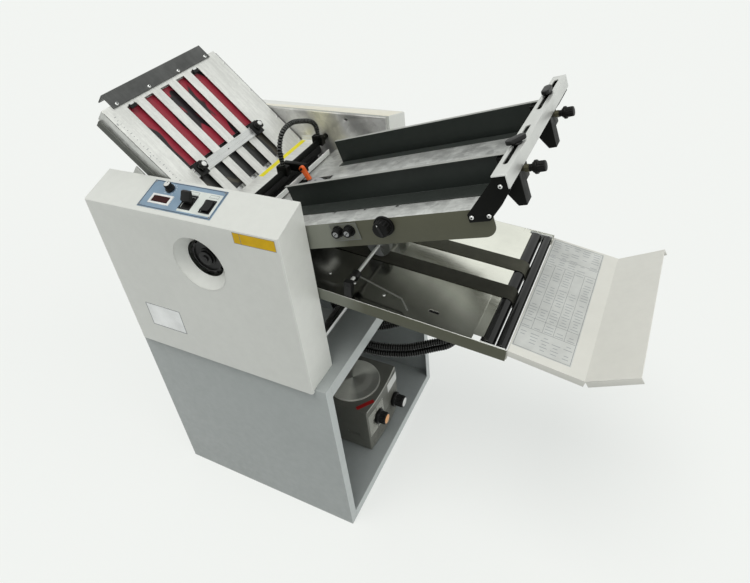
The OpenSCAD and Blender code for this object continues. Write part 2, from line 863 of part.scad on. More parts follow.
// Side flange outline, with its two lower corners rounded
module flange_outline(x0, x1, h) {
    difference() {
        translate([x0, -h]) square([x1 - x0, h]);
        translate([x1 - end_r, -h - eps]) square([end_r + eps, end_r + eps]);
    }
    translate([x1 - end_r, -h + end_r]) circle(r = end_r);
}

table_end = feed_out - feed_lap;
wheel_slot = (suction_x - feed_x) / cos(feed_slope);
module feed_table() {
    color("lightgray") on_feed() {
        difference() {
            translate([-feed_in, -fy, -table_t]) cube([feed_in + table_end, frame_gap, table_t]);
            translate([-feed_in - eps, -suction_w / 2 - 4, -table_t - eps])
                cube([wheel_slot + feed_in + 46, suction_w + 8, table_t + 2 * eps]);
        }
        for (s = [0, 1]) mirror([0, s, 0])
            translate([0, -fy + table_t, -table_t]) rotate([90, 0, 0])
                linear_extrude(height = table_t)
                    flange_outline(suction_clear, table_end, feed_flange - table_t);
        translate([table_end - table_t, -fy + table_t, -table_t - 14])
            cube([table_t, frame_gap - 2 * table_t, 14]);
    }
}
// The flanges start past the suction wheel's bearings
suction_clear = wheel_slot + 30;

// One side guide with its carriage at the crossbar; the foot lies on one side
module side_guide(y, out) {
    x0 = -94;
    on_feed() {
        translate([x0, y, 0.3]) {
            cube([bar_u - x0 - 1, guide_t, guide_h - 0.3]);
            translate([0, out > 0 ? 0 : guide_t - guide_foot, 0])
                cube([bar_u - x0 - 1, guide_foot, guide_t]);
            translate([0, out > 0 ? 0 : guide_t - 9, guide_h - 0.3 - guide_t])
                cube([bar_u - x0 - 1, 9, guide_t]);
        }
        difference() {
            union() {
                translate([carriage_u, y - 34, 4]) cube([carriage_l, 90, carriage_v - 4]);
                translate([bar_u - 20, y - 12, 4]) cube([22, 12, guide_h - 8]);
                // Angular foot that hangs past the table's end
                translate([0, y - 6, 0]) rotate([90, 0, 0]) linear_extrude(height = 28)
                    polygon([[table_end + 4, 10], [carriage_u + carriage_l, 10],
                        [carriage_u + carriage_l, -30], [carriage_u + 4, -30]]);
            }
            translate([stud_u, y + stud_off, 20]) cylinder(d = stud_d + 2 * run_fit, h = 60);
            translate([carriage_u - eps, y - 20, screw_v]) rotate([0, 90, 0])
                cylinder(d = stud_d + 2 * run_fit, h = 60);
            translate([carriage_u - eps, y + 14, -eps]) cube([carriage_l + 2 * eps, 60, 34]);
        }
    }
}
stud_off = 16;
screw_v = 32;

module side_guide_near() { color("dimgray") side_guide(guide_near, -1); }
module side_guide_far() { color("dimgray") side_guide(guide_far, 1); }

// Oval thumb knob on a stud through the crossbar's slot
module guide_knob(y, turned) {
    on_feed() translate([stud_u, y + stud_off, 0]) {
        translate([0, 0, 40]) cylinder(d = stud_d, h = bar_v + bar_t + slide_fit - 39);
        translate([0, 0, bar_v + bar_t + slide_fit]) {
            cylinder(d = 20, h = 4);
            rotate([0, 0, turned]) translate([0, 0, 4]) {
                for (s = [-11, 11]) translate([0, s, 0]) cylinder(d = 16, h = 8);
                translate([-8, -11, 0]) cube([16, 22, 8]);
            }
        }
    }
}
module guide_knob_near() { color("black") guide_knob(guide_near, -45); }
module guide_knob_far() { color("black") guide_knob(guide_far, 0); }

// Knurled adjusting knob below the crossbar's front
module guide_screw(y) {
    on_feed() translate([carriage_u + 6, y - 20, screw_v]) rotate([0, 90, 0]) {
        cylinder(d = stud_d, h = carriage_l + 22);
        translate([0, 0, carriage_l + 18]) knob(24, 18, 12);
    }
}
module guide_screw_near() { color("black") guide_screw(guide_near); }
module guide_screw_far() { color("black") guide_screw(guide_far); }

bar_half = fy + bracket_t + 5;
slot_len = 145;
// Angle bar across the table's outer end, with a long slot for each guide
module crossbar() {
    color("silver") on_feed() difference() {
        union() {
            translate([bar_u, -bar_half, bar_v]) cube([bar_w, 2 * bar_half, bar_t]);
            translate([bar_u + bar_w - bar_t, -bar_half, bar_v + bar_t - bar_h])
                cube([bar_t, 2 * bar_half, bar_h - bar_t]);
        }
        for (y = [guide_near, guide_far])
            translate([stud_u, y + stud_off, bar_v - eps]) {
                translate([-stud_d / 2 - slide_fit, -slot_len / 2 + 2, 0])
                    cube([stud_d + 2 * slide_fit, slot_len, bar_t + 2 * eps]);
                for (s = [-slot_len / 2 + 2, slot_len / 2 + 2]) translate([0, s, 0])
                    cylinder(d = stud_d + 2 * slide_fit, h = bar_t + 2 * eps);
            }
    }
}

bracket_holes = [[bar_u - 55, -12], [bar_u - 24, -12], [bar_u + 9, 40]];
// Black side plates between the table's flanges and the crossbar
module crossbar_brackets() {
    color("black") for (s = [0, 1]) mirror([0, s, 0])
        on_feed() translate([0, -fy, 0]) rotate([90, 0, 0])
            linear_extrude(height = bracket_t) difference() {
                polygon([[bar_u - 62, -22], [bar_u - 25, -22], [bar_u + 3, 6],
                    [bar_u + bar_w - bar_t, 31], [bar_u + bar_w - bar_t, bar_v],
                    [bar_u, bar_v], [bar_u - 5, 50], [bar_u - 62, -6]]);
                for (p = bracket_holes) translate(p) circle(d = 5);
            }
}

// Valve plate with two small knobs, and the large knob beside it
valve_u = 82;
valve_v = -21;
lift_u = 176;
module valve_plate() {
    color("silver") on_feed()
        translate([valve_u - 32, -fy - 2, valve_v - 20]) cube([64, 2, 38]);
}
module valve_knob(dx) {
    on_feed() translate([valve_u + dx, -fy - 2 - slide_fit, valve_v + 3])
        rotate([90, 0, 0]) knob(25, 15, 10);
}
module valve_knob_left() { color("black") valve_knob(-13.5); }
module valve_knob_right() { color("black") valve_knob(13.5); }
module lift_knob() {
    color("black") on_feed() translate([lift_u, -fy - slide_fit, valve_v + 6])
        rotate([90, 0, 0]) knob(42, 22, 12);
}

// Delivery ------------------------------------------------------------

// Frame of the delivery table: x down the slope from the belt roller
module on_delivery() {
    translate([deliver_x, 0, deliver_z]) rotate([0, deliver_slope, 0]) children();
}
outer_v = 3;
sheet_in = 28;
module delivery_table() {
    color("lightgray") on_delivery() {
        difference() {
            translate([sheet_in, -fy, table_v - table_t])
                cube([run_l - br - 14 - sheet_in, frame_gap, table_t]);
            for (x = [run_l * 0.4, run_l * 0.76])
                translate([x, -fy + 36, table_v - table_t - eps])
                    cube([22, 8, table_t + 2 * eps]);
        }
        for (y = [-fy, fy - table_t])
            translate([sheet_in, y, table_v - deliver_flange])
                cube([deliver_end - sheet_in, table_t, deliver_flange - table_t]);
        for (y = [-fy, fy - table_t])
            translate([run_l - br - 14, y, table_v - table_t])
                cube([deliver_end - run_l + br + 14, table_t, table_t]);
        for (y = [-fy + table_t, fy - table_t - 14])
            translate([deliver_end - table_t, y, table_v - deliver_flange])
                cube([table_t, 14, deliver_flange - 16]);
    }
}

// Flat belt around the two belt rollers
module belt_loop(r) {
    translate([0, -r]) square([run_l, 2 * r]);
    for (x = [0, run_l]) translate([x, 0]) circle(r = r);
}
module delivery_belts() {
    color("dimgray") on_delivery()
        for (y = belt_ys)
            translate([0, y + belt_w / 2, 0]) rotate([90, 0, 0])
                linear_extrude(height = belt_w) difference() {
                    belt_loop(br + slide_fit + belt_t);
                    belt_loop(br + slide_fit);
                }
}

module belt_roller() {
    color("dimgray") {
        along_y([deliver_x, deliver_z], -fy + end_gap)
            cylinder(d = belt_roller_d, h = frame_gap - 2 * end_gap);
        along_y([deliver_x, deliver_z], -journal_end)
            cylinder(d = journal_d, h = 2 * journal_end);
    }
}

// End roller on two pins, in the table's own frame
module end_roller(x, z, r) {
    on_delivery() translate([x, 0, z]) rotate([-90, 0, 0]) {
        translate([0, 0, -fy + table_t + end_block[1] + 2])
            cylinder(r = r, h = frame_gap - 2 * (table_t + end_block[1] + 2));
        translate([0, 0, -fy + table_t + 0.5])
            cylinder(d = end_pin, h = frame_gap - 2 * table_t - 1);
    }
}
module end_roller_inner() { color("black") end_roller(run_l, 0, br); }
module end_roller_outer() { color("black") end_roller(outer_u, outer_v, outer_r - slide_fit); }

// Stacker rod across the table, with two light wheels and a side wire
stack_u = 250;
stack_v = 46;
stack_d = 8;
// Straight rod between two points
module rod_between(a, b, d) {
    w = b - a;
    translate(a) rotate([0, acos(w[2] / norm(w)), atan2(w[1], w[0])])
        cylinder(d = d, h = norm(w));
}
stack_foot = [18, 14];
stack_wire = [[stack_u, -162, stack_v], [stack_u + 115, -178, stack_v - 11.5],
    [stack_u + 138, -202, stack_v - 14]];
module stacker_rod() {
    color("silver") on_delivery() {
        translate([stack_u, -fy + 0.5, stack_v]) rotate([-90, 0, 0])
            cylinder(d = stack_d, h = frame_gap - 1);
        for (y = belt_ys) translate([stack_u, y - 8, stack_v]) rotate([-90, 0, 0])
            cylinder(r = stack_v - br - belt_t - 2 * slide_fit, h = 16);
        for (y = [-172, 156]) translate([stack_u, y, stack_v]) rotate([-90, 0, 0])
            cylinder(d = 20, h = 16);
        for (y = [-fy + 2, fy - 2 - stack_foot[1]])
            translate([stack_u - stack_foot[0] / 2, y, table_v + slide_fit])
                cube([stack_foot[0], stack_foot[1], stack_v + 9 - table_v]);
        for (i = [0 : len(stack_wire) - 2])
            rod_between(stack_wire[i], stack_wire[i + 1]
                + 1.5 * unit(stack_wire[i + 1] - stack_wire[i]), 4);
    }
}

// Catch tray: a leaf that hooks on the table's end and a raised flap
tray_half = fy - 5;
module catch_tray() {
    color("ivory") on_delivery() translate([deliver_end, 0, table_v - 4])
        for (part = [0, 1]) tray_part(part);
}
tray_fall = 5.5;
tray_back = tray_lip * tan(tray_fall) + 0.1;
module tray_part(part) {
    if (part == 0) {
        translate([0, -tray_half, -deliver_flange + 4]) cube([table_t, 2 * tray_half,
            deliver_flange - 4]);
        rotate([0, tray_fall, 0]) translate([tray_back, 0, 0]) leaf(tray_l - tray_back);
    }
    if (part == 1)
        rotate([0, tray_fall, 0]) translate([tray_l - 0.8, 0, 0])
            rotate([0, -flap_tilt - tray_fall - deliver_slope, 0]) leaf(flap_l);
}
module leaf(l) {
    translate([0, -tray_half, -table_t]) cube([l, 2 * tray_half, table_t]);
    for (y = [-tray_half, tray_half - table_t])
        translate([0, y, -tray_lip]) cube([l, table_t, tray_lip - table_t]);
}

// Air pump ------------------------------------------------------------

pump_x1 = 250;
pump_y = 25;
pump_z = base_h;
foot_h = 8;
bulge = 7;
bulge_r = (pump_w * pump_w / 4 + bulge * bulge) / (2 * bulge);

// Plan of the pump, its front face gently bowed
module pump_plan() {
    translate([pump_x1 - pump_l, pump_y - pump_w / 2]) square([pump_l, pump_w]);
    intersection() {
        translate([pump_x1 + bulge - bulge_r, pump_y]) circle(r = bulge_r, $fn = 180);
        translate([pump_x1 - 20, pump_y - pump_w / 2]) square([20 + bulge, pump_w]);
    }
}

module pump_housing() {
    color("darkslategray") {
        difference() {
            translate([0, 0, pump_z + foot_h])
                linear_extrude(height = pump_h - foot_h) pump_plan();
            for (i = [0 : 7])
                translate([pump_x1 - 2, pump_y - pump_w / 2 + 16, pump_z + foot_h + 12 + i * 8])
                    cube([bulge + 4, pump_w - 32, 3]);
            translate([pump_x1 - 75, pump_y - pump_w / 2 - eps, pump_z + 60])
                cube([40, 3 + eps, 8]);
        }
        translate([pump_x1 - pump_l / 2, pump_y, pump_z + pump_h]) {
            cylinder(d = pump_cap_d, h = 5);
            cylinder(d1 = pump_cap_d - 10, d2 = pump_cap_d * 0.45, h = 14);
        }
        for (x = [pump_x1 - pump_l + 24, pump_x1 - 24], y = [-1, 1])
            translate([x, pump_y + y * (pump_w / 2 - 24), pump_z])
                cylinder(d1 = 26, d2 = 30, h = foot_h);
    }
}

near_knob = [-21.5, 139];
far_knob = [86, 100];
// Distance of the bowed front face from its chord at a given width
function bow(y) = pump_x1 + bulge - bulge_r + sqrt(bulge_r * bulge_r - pow(y - pump_y, 2));
module pump_knob(at, l) {
    translate([bow(at[0] + (at[0] < pump_y ? 24 : -24)) + slide_fit, at[0], at[1]])
        rotate([0, 90, 0]) knob(48, l, 10);
}
module pump_knob_near() { color("black") pump_knob(near_knob, 30); }
module pump_knob_far() { color("black") pump_knob(far_knob, 38); }

// Hoses ---------------------------------------------------------------

// Smooth curve through the points of a route
function spline_at(p, t) =
    let (n = len(p) - 1, i = min(floor(t), n - 1), f = t - i)
    let (a = p[max(i - 1, 0)], b = p[i], c = p[i + 1], d = p[min(i + 2, n)])
    0.5 * ((2 * b) + (c - a) * f + (2 * a - 5 * b + 4 * c - d) * f * f
        + (3 * b - a - 3 * c + d) * f * f * f);
function run_sum(v, i = 0, s = 0) = i == len(v) ? [] :
    concat([s + v[i]], run_sum(v, i + 1, s + v[i]));
function unit(v) = v / norm(v);

// Evenly spaced points along a route
function even_points(p, n) =
    let (m = 12 * (len(p) - 1))
    let (q = [for (i = [0 : m]) spline_at(p, i * (len(p) - 1) / m)])
    let (d = [for (i = [0 : m]) i == 0 ? 0 : norm(q[i] - q[i - 1])])
    let (s = run_sum(d))
    let (table = [for (i = [0 : m]) [s[i], i * (len(p) - 1) / m]])
    [for (k = [0 : n]) spline_at(p, lookup(s[m] * k / n, table))];

// Points and faces of one ribbed tube with a bore, swept along a route.
// Its rings are numbered from o on.
hose_sides = 8;
bore_step = 4;
function hose_rings(p, d, ribs, side) =
    let (n = 2 * ribs, c = even_points(p, n))
    let (tang = [for (i = [0 : n]) i == 0 ? unit(p[1] - p[0])
        : i == n ? unit(p[len(p) - 1] - p[len(p) - 2]) : unit(c[i + 1] - c[i - 1])])
    let (nrm = [for (t = tang) unit(cross(t, side))])
    let (bin = [for (i = [0 : n]) cross(tang[i], nrm[i])])
    let (last = floor(n / bore_step))
    concat(
        [for (i = [0 : n], k = [0 : hose_sides - 1])
            let (r = i % 2 == 1 ? d / 2 : d / 2 - d * 0.09, a = k * 360 / hose_sides)
            c[i] + r * (cos(a) * nrm[i] + sin(a) * bin[i])],
        [for (j = [0 : last], k = [0 : hose_sides - 1])
            let (i = j == last ? n : j * bore_step, a = k * 360 / hose_sides)
            c[i] + d * 0.3 * (cos(a) * nrm[i] + sin(a) * bin[i])]);
function hose_faces(ribs, o) =
    let (n = 2 * ribs, last = floor(n / bore_step), q = o + (n + 1) * hose_sides)
    let (e = o + n * hose_sides, f = q + last * hose_sides)
    concat(
        [for (i = [0 : n - 1], k = [0 : hose_sides - 1])
            let (a = o + i * hose_sides + k, b = o + i * hose_sides + (k + 1) % hose_sides)
            each [[a, b, b + hose_sides], [a, b + hose_sides, a + hose_sides]]],
        [for (i = [0 : last - 1], k = [0 : hose_sides - 1])
            let (a = q + i * hose_sides + k, b = q + i * hose_sides + (k + 1) % hose_sides)
            each [[a, b + hose_sides, b], [a, a + hose_sides, b + hose_sides]]],
        [for (k = [0 : hose_sides - 1])
            let (a = k, b = (k + 1) % hose_sides)
            each [[o + a, q + a, q + b], [o + a, q + b, o + b],
                [e + a, e + b, f + b], [e + a, f + b, f + a]]]);

air_ribs = 76;
loop_ribs = 44;
hose_side = [-0.5, 0.6, 0.62];
// Routes of the two air hoses: from the pump's back, up behind it, forward
// under the stand's top, out in a loop and back up through the hole
air_route_a = [[36, 0, 150], [26, 0, 150], [14, 0, 150], [-12, 0, 156], [-38, 0, 172],
    [-54, 0, 200], [-60, 0, 240], [-54, -3, 290], [-30, -8, 342], [15, -14, 390],
    [90, -22, 430], [180, -34, 456], [268, -38, 464], [320, -32, 466], [375, -10, 464],
    [425, 28, 462], [454, 52, 460], [465, 84, 459], [454, 118, 460], [425, 140, 463],
    [390, 141, 466], [358, 122, 469], [310, 76, 472], [262, 32, 476], [208, 4, 489],
    [168, -1, 516], [150, 0, 560], [150, 0, 700]];
air_route_b = [[36, 30, 150], [26, 30, 150], [14, 30, 150], [-12, 30, 156], [-38, 30, 172],
    [-54, 30, 200], [-60, 29, 240], [-54, 24, 290], [-28, 16, 340], [20, 4, 380],
    [95, -14, 408], [180, -32, 432], [268, -40, 441], [320, -34, 443], [376, -11, 441],
    [428, 30, 439], [457, 56, 437], [468, 88, 436], [457, 123, 437], [427, 145, 440],
    [391, 147, 443], [358, 128, 446], [310, 82, 449], [262, 42, 453], [212, 28, 465],
    [170, 26, 496], [150, 26, 550], [150, 26, 700]];
// Route of the feeder hose, an arch between the two clamp blocks on the feed bar
loop_x = feed_bar_at[0] + 2;
loop_z = feed_bar_at[1] + 19;
loop_route = [for (q = [[-4, 0], [-4, 14], [-3, 46], [20, 77], [62, 82], [110, 66],
    [146, 48], [162, 30], [166, 13], [166, 0]]) [loop_x, q[0], loop_z + q[1]]];

// Two air hoses that run side by side, from the pump to the feed head
module air_hoses() {
    pair = [for (q = [air_route_a, air_route_b]) hose_rings(q, hose_d, air_ribs, hose_side)];
    color("black") polyhedron(points = concat(pair[0], pair[1]),
        faces = concat(hose_faces(air_ribs, 0), hose_faces(air_ribs, len(pair[0]))));
}
module feeder_hose() {
    color("black") polyhedron(points = hose_rings(loop_route, loop_d, loop_ribs, [1, 0, 0]),
        faces = hose_faces(loop_ribs, 0));
}

// Ports and sockets that the air hoses end in, and the bar that holds the sockets
socket_h = 26;
module hose_fittings() {
    color("black") {
        for (q = [air_route_a, air_route_b]) {
            first = q[0];
            last = q[len(q) - 1];
            translate(first) rotate([0, 90, 0])
                cylinder(d = hose_d + 5, h = pump_x1 - pump_l - first[0]);
            translate(last) cylinder(d = hose_d + 5, h = socket_h);
        }
        top = air_route_a[len(air_route_a) - 1];
        translate([top[0] - 18, -fy, top[2] + socket_h]) cube([36, frame_gap, 10]);
    }
}

// Fasteners -----------------------------------------------------------

// Round-headed screw: its head stands on a face at z = 0
module screw(d, l) {
    translate([0, 0, -l]) cylinder(d = d, h = l);
    cylinder(d1 = d * 1.9, d2 = d * 1.3, h = d * 0.5);
}

module fasteners() {
    color("silver") {
        for (y = [-1, 1], z = bolt_zs)
            translate([-sx, y * bolt_y, z]) rotate([0, -90, 0])
                screw(bolt_hole - 0.5, 2 * stand_t + 4);
        on_plate1() for (y = end_screw_y)
            translate([-plate_up + 4, y, end_bar_t]) screw(4.5, end_bar_t);
        for (s = [0, 1]) mirror([0, s, 0]) on_feed()
            for (p = bracket_holes)
                translate([p[0], -fy - bracket_t, p[1]]) rotate([90, 0, 0])
                    screw(4.5, bracket_t);
    }
}

stand_side_near();
stand_side_far();
stand_end_panel();
stand_shelves();
fasteners();
side_frame_near();
side_frame_far();
tie_bars();
side_cover_near();
side_cover_far();
control_panel();
speed_knob();
paddle_switch();
rocker_switch();
bearings();
fold_roller_1();
fold_roller_2();
fold_roller_3();
fold_roller_4();
handwheel();
plate1_upper_grid();
plate1_lower_grid();
plate1_side_rails();
plate1_end_bar();
plate1_stop_bar();
plate1_knob_near();
plate1_knob_far();
plate2_cassette();
plate2_stop_bar();
roller_cover();
feed_bar();
feed_lever();
register_strip();
suction_wheel();
feed_table();
side_guide_near();
side_guide_far();
guide_knob_near();
guide_knob_far();
guide_screw_near();
guide_screw_far();
crossbar();
crossbar_brackets();
valve_plate();
valve_knob_left();
valve_knob_right();
lift_knob();
delivery_table();
delivery_belts();
belt_roller();
end_roller_inner();
end_roller_outer();
stacker_rod();
catch_tray();
pump_housing();
pump_knob_near();
pump_knob_far();
air_hoses();
feeder_hose();
hose_fittings();
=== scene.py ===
# Looks for the paper folding machine: materials, skins of the solids and small detail.
# Metres, in the same frame as the solids: +X feed and delivery end, -Y operator's side, +Z up.
# Sizes and places of detail are in millimetres, in the local frame of the solid that carries it.
import bmesh
import bpy
import json
import math
import random
from mathutils import Matrix, Vector


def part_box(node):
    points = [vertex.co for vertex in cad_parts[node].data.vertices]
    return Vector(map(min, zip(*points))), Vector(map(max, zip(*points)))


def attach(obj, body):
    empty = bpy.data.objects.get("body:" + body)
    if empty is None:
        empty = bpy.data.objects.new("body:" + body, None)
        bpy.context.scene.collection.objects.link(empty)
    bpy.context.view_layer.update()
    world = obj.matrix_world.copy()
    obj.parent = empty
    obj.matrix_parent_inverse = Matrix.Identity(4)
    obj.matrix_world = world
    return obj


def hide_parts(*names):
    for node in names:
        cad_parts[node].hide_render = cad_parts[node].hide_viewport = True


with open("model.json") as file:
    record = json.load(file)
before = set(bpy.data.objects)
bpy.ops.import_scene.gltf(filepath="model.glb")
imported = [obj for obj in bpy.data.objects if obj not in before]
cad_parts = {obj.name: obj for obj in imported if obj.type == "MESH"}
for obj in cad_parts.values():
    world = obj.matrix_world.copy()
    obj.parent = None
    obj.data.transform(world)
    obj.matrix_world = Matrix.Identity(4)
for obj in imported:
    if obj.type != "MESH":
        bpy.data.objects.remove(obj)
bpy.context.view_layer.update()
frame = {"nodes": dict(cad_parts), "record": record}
NODES = frame["nodes"]
SCENE = bpy.context.scene
MM = 0.001

# -------------------------------- camera
CAMERA_AT = (0.889421, -1.035968, 1.610606)
CAMERA_AIM = (0.089046, 0.177770, 0.600000)
CAMERA_ROLL = -0.155
IMAGE_W, IMAGE_H = 750.0, 583.0
FOCAL_PX = 598.088
CENTRE_X, CENTRE_Y = 341.944, 246.562
SENSOR = 36.0


def make_camera():
    pos = Vector(CAMERA_AT)
    z = (pos - Vector(CAMERA_AIM)).normalized()
    x = Vector((0, 0, 1)).cross(z).normalized()
    y = z.cross(x)
    c, s = math.cos(CAMERA_ROLL), math.sin(CAMERA_ROLL)
    axes = Matrix((c * x + s * y, c * y - s * x, z)).transposed()
    cam = bpy.data.objects.new("camera", bpy.data.cameras.new("camera"))
    SCENE.collection.objects.link(cam)
    cam.matrix_world = Matrix.Translation(pos) @ axes.to_4x4()
    cam.data.sensor_width = SENSOR
    cam.data.lens = FOCAL_PX * SENSOR / IMAGE_W
    cam.data.shift_x = (IMAGE_W / 2 - CENTRE_X) / IMAGE_W
    cam.data.shift_y = (CENTRE_Y - IMAGE_H / 2) / IMAGE_W
    cam.data.clip_start, cam.data.clip_end = 0.05, 60
    SCENE.camera = cam


make_camera()

# -------------------------------- places of the solids
COVER_Y = 306                   # outer faces of the side covers
COVER_EDGE = 985                # low edge of their sloping tops, which rise 31 in 101
ROOF_TILT = math.degrees(math.atan(31 / 101))
END_X = 262                     # past it lie the +X ends of the covers and the stand
PANEL_X, PANEL_UP = -15, 52.3   # middle of the control panel, along X and up the slope
PANEL_T = 1.5
SPEED_AT = (-44, 18)            # controls on the panel, from its middle
DISPLAY_AT = (-51, -13)
PADDLE_AT = (24, -7)
ROCKER_AT = (79, -9)
PLATE_TILT = 45                 # fold plates 1 and 2, with the top of plate 2's upper sheet
PLATE2_TOP = 6
CLAMP_YS = (-128, 100)          # clamp knobs of plate 1's stop bar, in its outer slots
FEED_X, FEED_SLOPE = 271, 16.3
DELIVERY_X, DELIVERY_SLOPE = 85, 5.7
FLANGE_Y, FLANGE_OUT = 203, 204.5   # past them lie the tables' side flanges and their outer faces
GUIDE_FAR_Y = 102
GUIDE_TOP, GUIDE_FOOT = 56.4, 2.6   # heights just under the guides' top edge and over their foot
CARRIAGE_U = 392                # where the side guides pass into their carriages
VALVE_US = (68.5, 95.5)
VALVE_FACE = -208
STACK_U, STACK_V = 250, 46      # axis of the stacker rod
PUMP_X, PUMP_Y, PUMP_W = 250, 25, 204
PUMP_TOP, PUMP_BULGE = 207, 7
LID_X, LID_R = 155, 84
PUMP_KNOB_D = 48


def turn(axis, deg):
    return Matrix.Rotation(math.radians(deg), 4, axis)


def shift(x, y, z):
    return Matrix.Translation((x, y, z))


def frame_at(x, y, z, r=Matrix.Identity(4)):
    """Local millimetres to metres in the machine's frame."""
    return shift(x * MM, y * MM, z * MM) @ r @ Matrix.Scale(MM, 4)


ROW = frame_at(0, 0, 0)
ROOF = frame_at(PANEL_X, -COVER_Y, COVER_EDGE, turn("X", ROOF_TILT)) @ shift(0, PANEL_UP, 0)
NEAR = frame_at(0, -COVER_Y, 0, turn("X", 90))
FEED = frame_at(FEED_X, 0, 957, turn("Y", -FEED_SLOPE))
DELIVERY = frame_at(DELIVERY_X, 0, 792, turn("Y", DELIVERY_SLOPE))
TRAY = DELIVERY @ shift(597.5, 0, 10.7) @ turn("Y", 5.5)
PLATE1 = frame_at(-65, 0, 984, turn("Y", PLATE_TILT))
PLATE2 = frame_at(9.435, 0, 860.41, turn("Y", -PLATE_TILT)) @ shift(0, 0, PLATE2_TOP)


# -------------------------------- node helpers
class Tree:
    """A node tree under construction: makes nodes and joins them."""

    def __init__(self, owner):
        owner.use_nodes = True
        self.tree = owner.node_tree
        self.tree.nodes.clear()

    def node(self, kind, **settings):
        made = self.tree.nodes.new(kind)
        for key, value in settings.items():
            setattr(made, key, value)
        return made

    def link(self, a, b):
        self.tree.links.new(a, b)

    def give(self, socket, value):
        """Gives a socket a number, a colour or another node's output."""
        if isinstance(value, tuple):
            socket.default_value = (*value, 1)
        elif not isinstance(value, (int, float)):
            self.link(value, socket)
        elif socket.type == "RGBA":
            socket.default_value = (value, value, value, 1)
        else:
            socket.default_value = value

    def math(self, op, a, b, clamp=False):
        made = self.node("ShaderNodeMath", operation=op, use_clamp=clamp)
        self.give(made.inputs[0], a)
        self.give(made.inputs[1], b)
        return made.outputs[0]

    def seen(self):
        """1 for the rays that show the background: camera, glossy and transmission rays."""
        rays = self.node("ShaderNodeLightPath").outputs
        mirrored = self.math("MAXIMUM", rays["Is Camera Ray"], rays["Is Glossy Ray"])
        return self.math("MAXIMUM", mirrored, rays["Is Transmission Ray"])


class Mat(Tree):
    """A material with one principled shader, and the patterns that its sockets take."""

    def __init__(self, name):
        self.material = bpy.data.materials.new(name)
        super().__init__(self.material)
        out = self.node("ShaderNodeOutputMaterial")
        self.shader = self.node("ShaderNodeBsdfPrincipled")
        self.link(self.shader.outputs[0], out.inputs[0])

    def pos(self, scale=(1, 1, 1), rot=(0, 0, 0)):
        """Object coordinates in metres, which are the machine's own."""
        coords = self.node("ShaderNodeTexCoord")
        mapping = self.node("ShaderNodeMapping")
        mapping.inputs["Scale"].default_value = scale
        mapping.inputs["Rotation"].default_value = rot
        self.link(coords.outputs["Object"], mapping.inputs["Vector"])
        return mapping.outputs[0]

    def xyz(self):
        parts = self.node("ShaderNodeSeparateXYZ")
        self.link(self.pos(), parts.inputs[0])
        return parts.outputs

    def noise(self, scale, vec=None, detail=4.0, rough=0.55, dist=0.0):
        made = self.node("ShaderNodeTexNoise")
        made.inputs["Scale"].default_value = scale
        made.inputs["Detail"].default_value = detail
        made.inputs["Roughness"].default_value = rough
        made.inputs["Distortion"].default_value = dist
        self.link(vec or self.pos(), made.inputs["Vector"])
        return made.outputs["Fac"]

    def ramp(self, value, stops):
        made = self.node("ShaderNodeValToRGB")
        points = made.color_ramp.elements
        while len(points) < len(stops):
            points.new(0.5)
        for point, (at, tone) in zip(points, stops):
            point.position = at
            point.color = (*tone, 1) if isinstance(tone, tuple) else (tone, tone, tone, 1)
        self.link(value, made.inputs[0])
        return made.outputs[0]

    def mix(self, share, a, b, blend="MIX"):
        made = self.node("ShaderNodeMix", data_type="RGBA", blend_type=blend)
        for i, value in ((0, share), (6, a), (7, b)):
            self.give(made.inputs[i], value)
        return made.outputs[2]

    def times(self, a, b):
        return self.mix(1.0, a, b, "MULTIPLY")

    def scaled(self, value, start, rate, clamp=False):
        """(value - start) * rate"""
        return self.math("MULTIPLY", self.math("SUBTRACT", value, start), rate, clamp)

    def bump(self, height, strength, dist):
        made = self.node("ShaderNodeBump")
        made.inputs["Strength"].default_value = strength
        made.inputs["Distance"].default_value = dist
        self.link(height, made.inputs["Height"])
        return made.outputs[0]

    def edge(self, radius, low, high):
        """1 on worn edges, 0 on flat faces."""
        bevel = self.node("ShaderNodeBevel", samples=4)
        bevel.inputs["Radius"].default_value = radius
        face = self.node("ShaderNodeNewGeometry")
        dot = self.node("ShaderNodeVectorMath", operation="DOT_PRODUCT")
        self.link(bevel.outputs[0], dot.inputs[0])
        self.link(face.outputs["Normal"], dot.inputs[1])
        return self.ramp(self.math("SUBTRACT", 1.0, dot.outputs["Value"]), [(low, 0.0), (high, 1.0)])

    def set(self, color, rough, metal, normal, spec=None, coat=None, coat_rough=None):
        for key, value in (("Base Color", color), ("Roughness", rough), ("Metallic", metal),
                           ("Normal", normal), ("Specular IOR Level", spec),
                           ("Coat Weight", coat), ("Coat Roughness", coat_rough)):
            if value is not None:
                self.give(self.shader.inputs[key], value)
        return self.material


def shade(color, k):
    return tuple(max(0.0, min(1.0, v * k)) for v in color)


# -------------------------------- kinds of material
def paint(name, color, wear, rough, peel, peel_s, grime, coat, spec=0.5):
    """Stoved paint on sheet: orange peel, slow tone drift, faint handling marks, worn edges."""
    m = Mat(name)
    drift = m.ramp(m.noise(5.0, detail=3), [(0.3, shade(color, 1 - grime * 0.5)), (0.75, color)])
    marks = m.ramp(m.noise(38.0, detail=6, rough=0.7), [(0.35, 1 - grime * 0.55), (0.62, 1.0)])
    edge = m.math("MULTIPLY", m.edge(0.0016, 0.03, 0.3), 0.55)
    gloss = m.ramp(m.noise(60.0, detail=5), [(0.3, rough * 0.85), (0.7, min(1.0, rough * 1.25))])
    bump = m.bump(m.noise(peel, detail=2, rough=0.4), peel_s, 0.0006)
    return m.set(m.mix(edge, m.times(drift, marks), wear), gloss, 0.0, bump, spec, coat, 0.25)


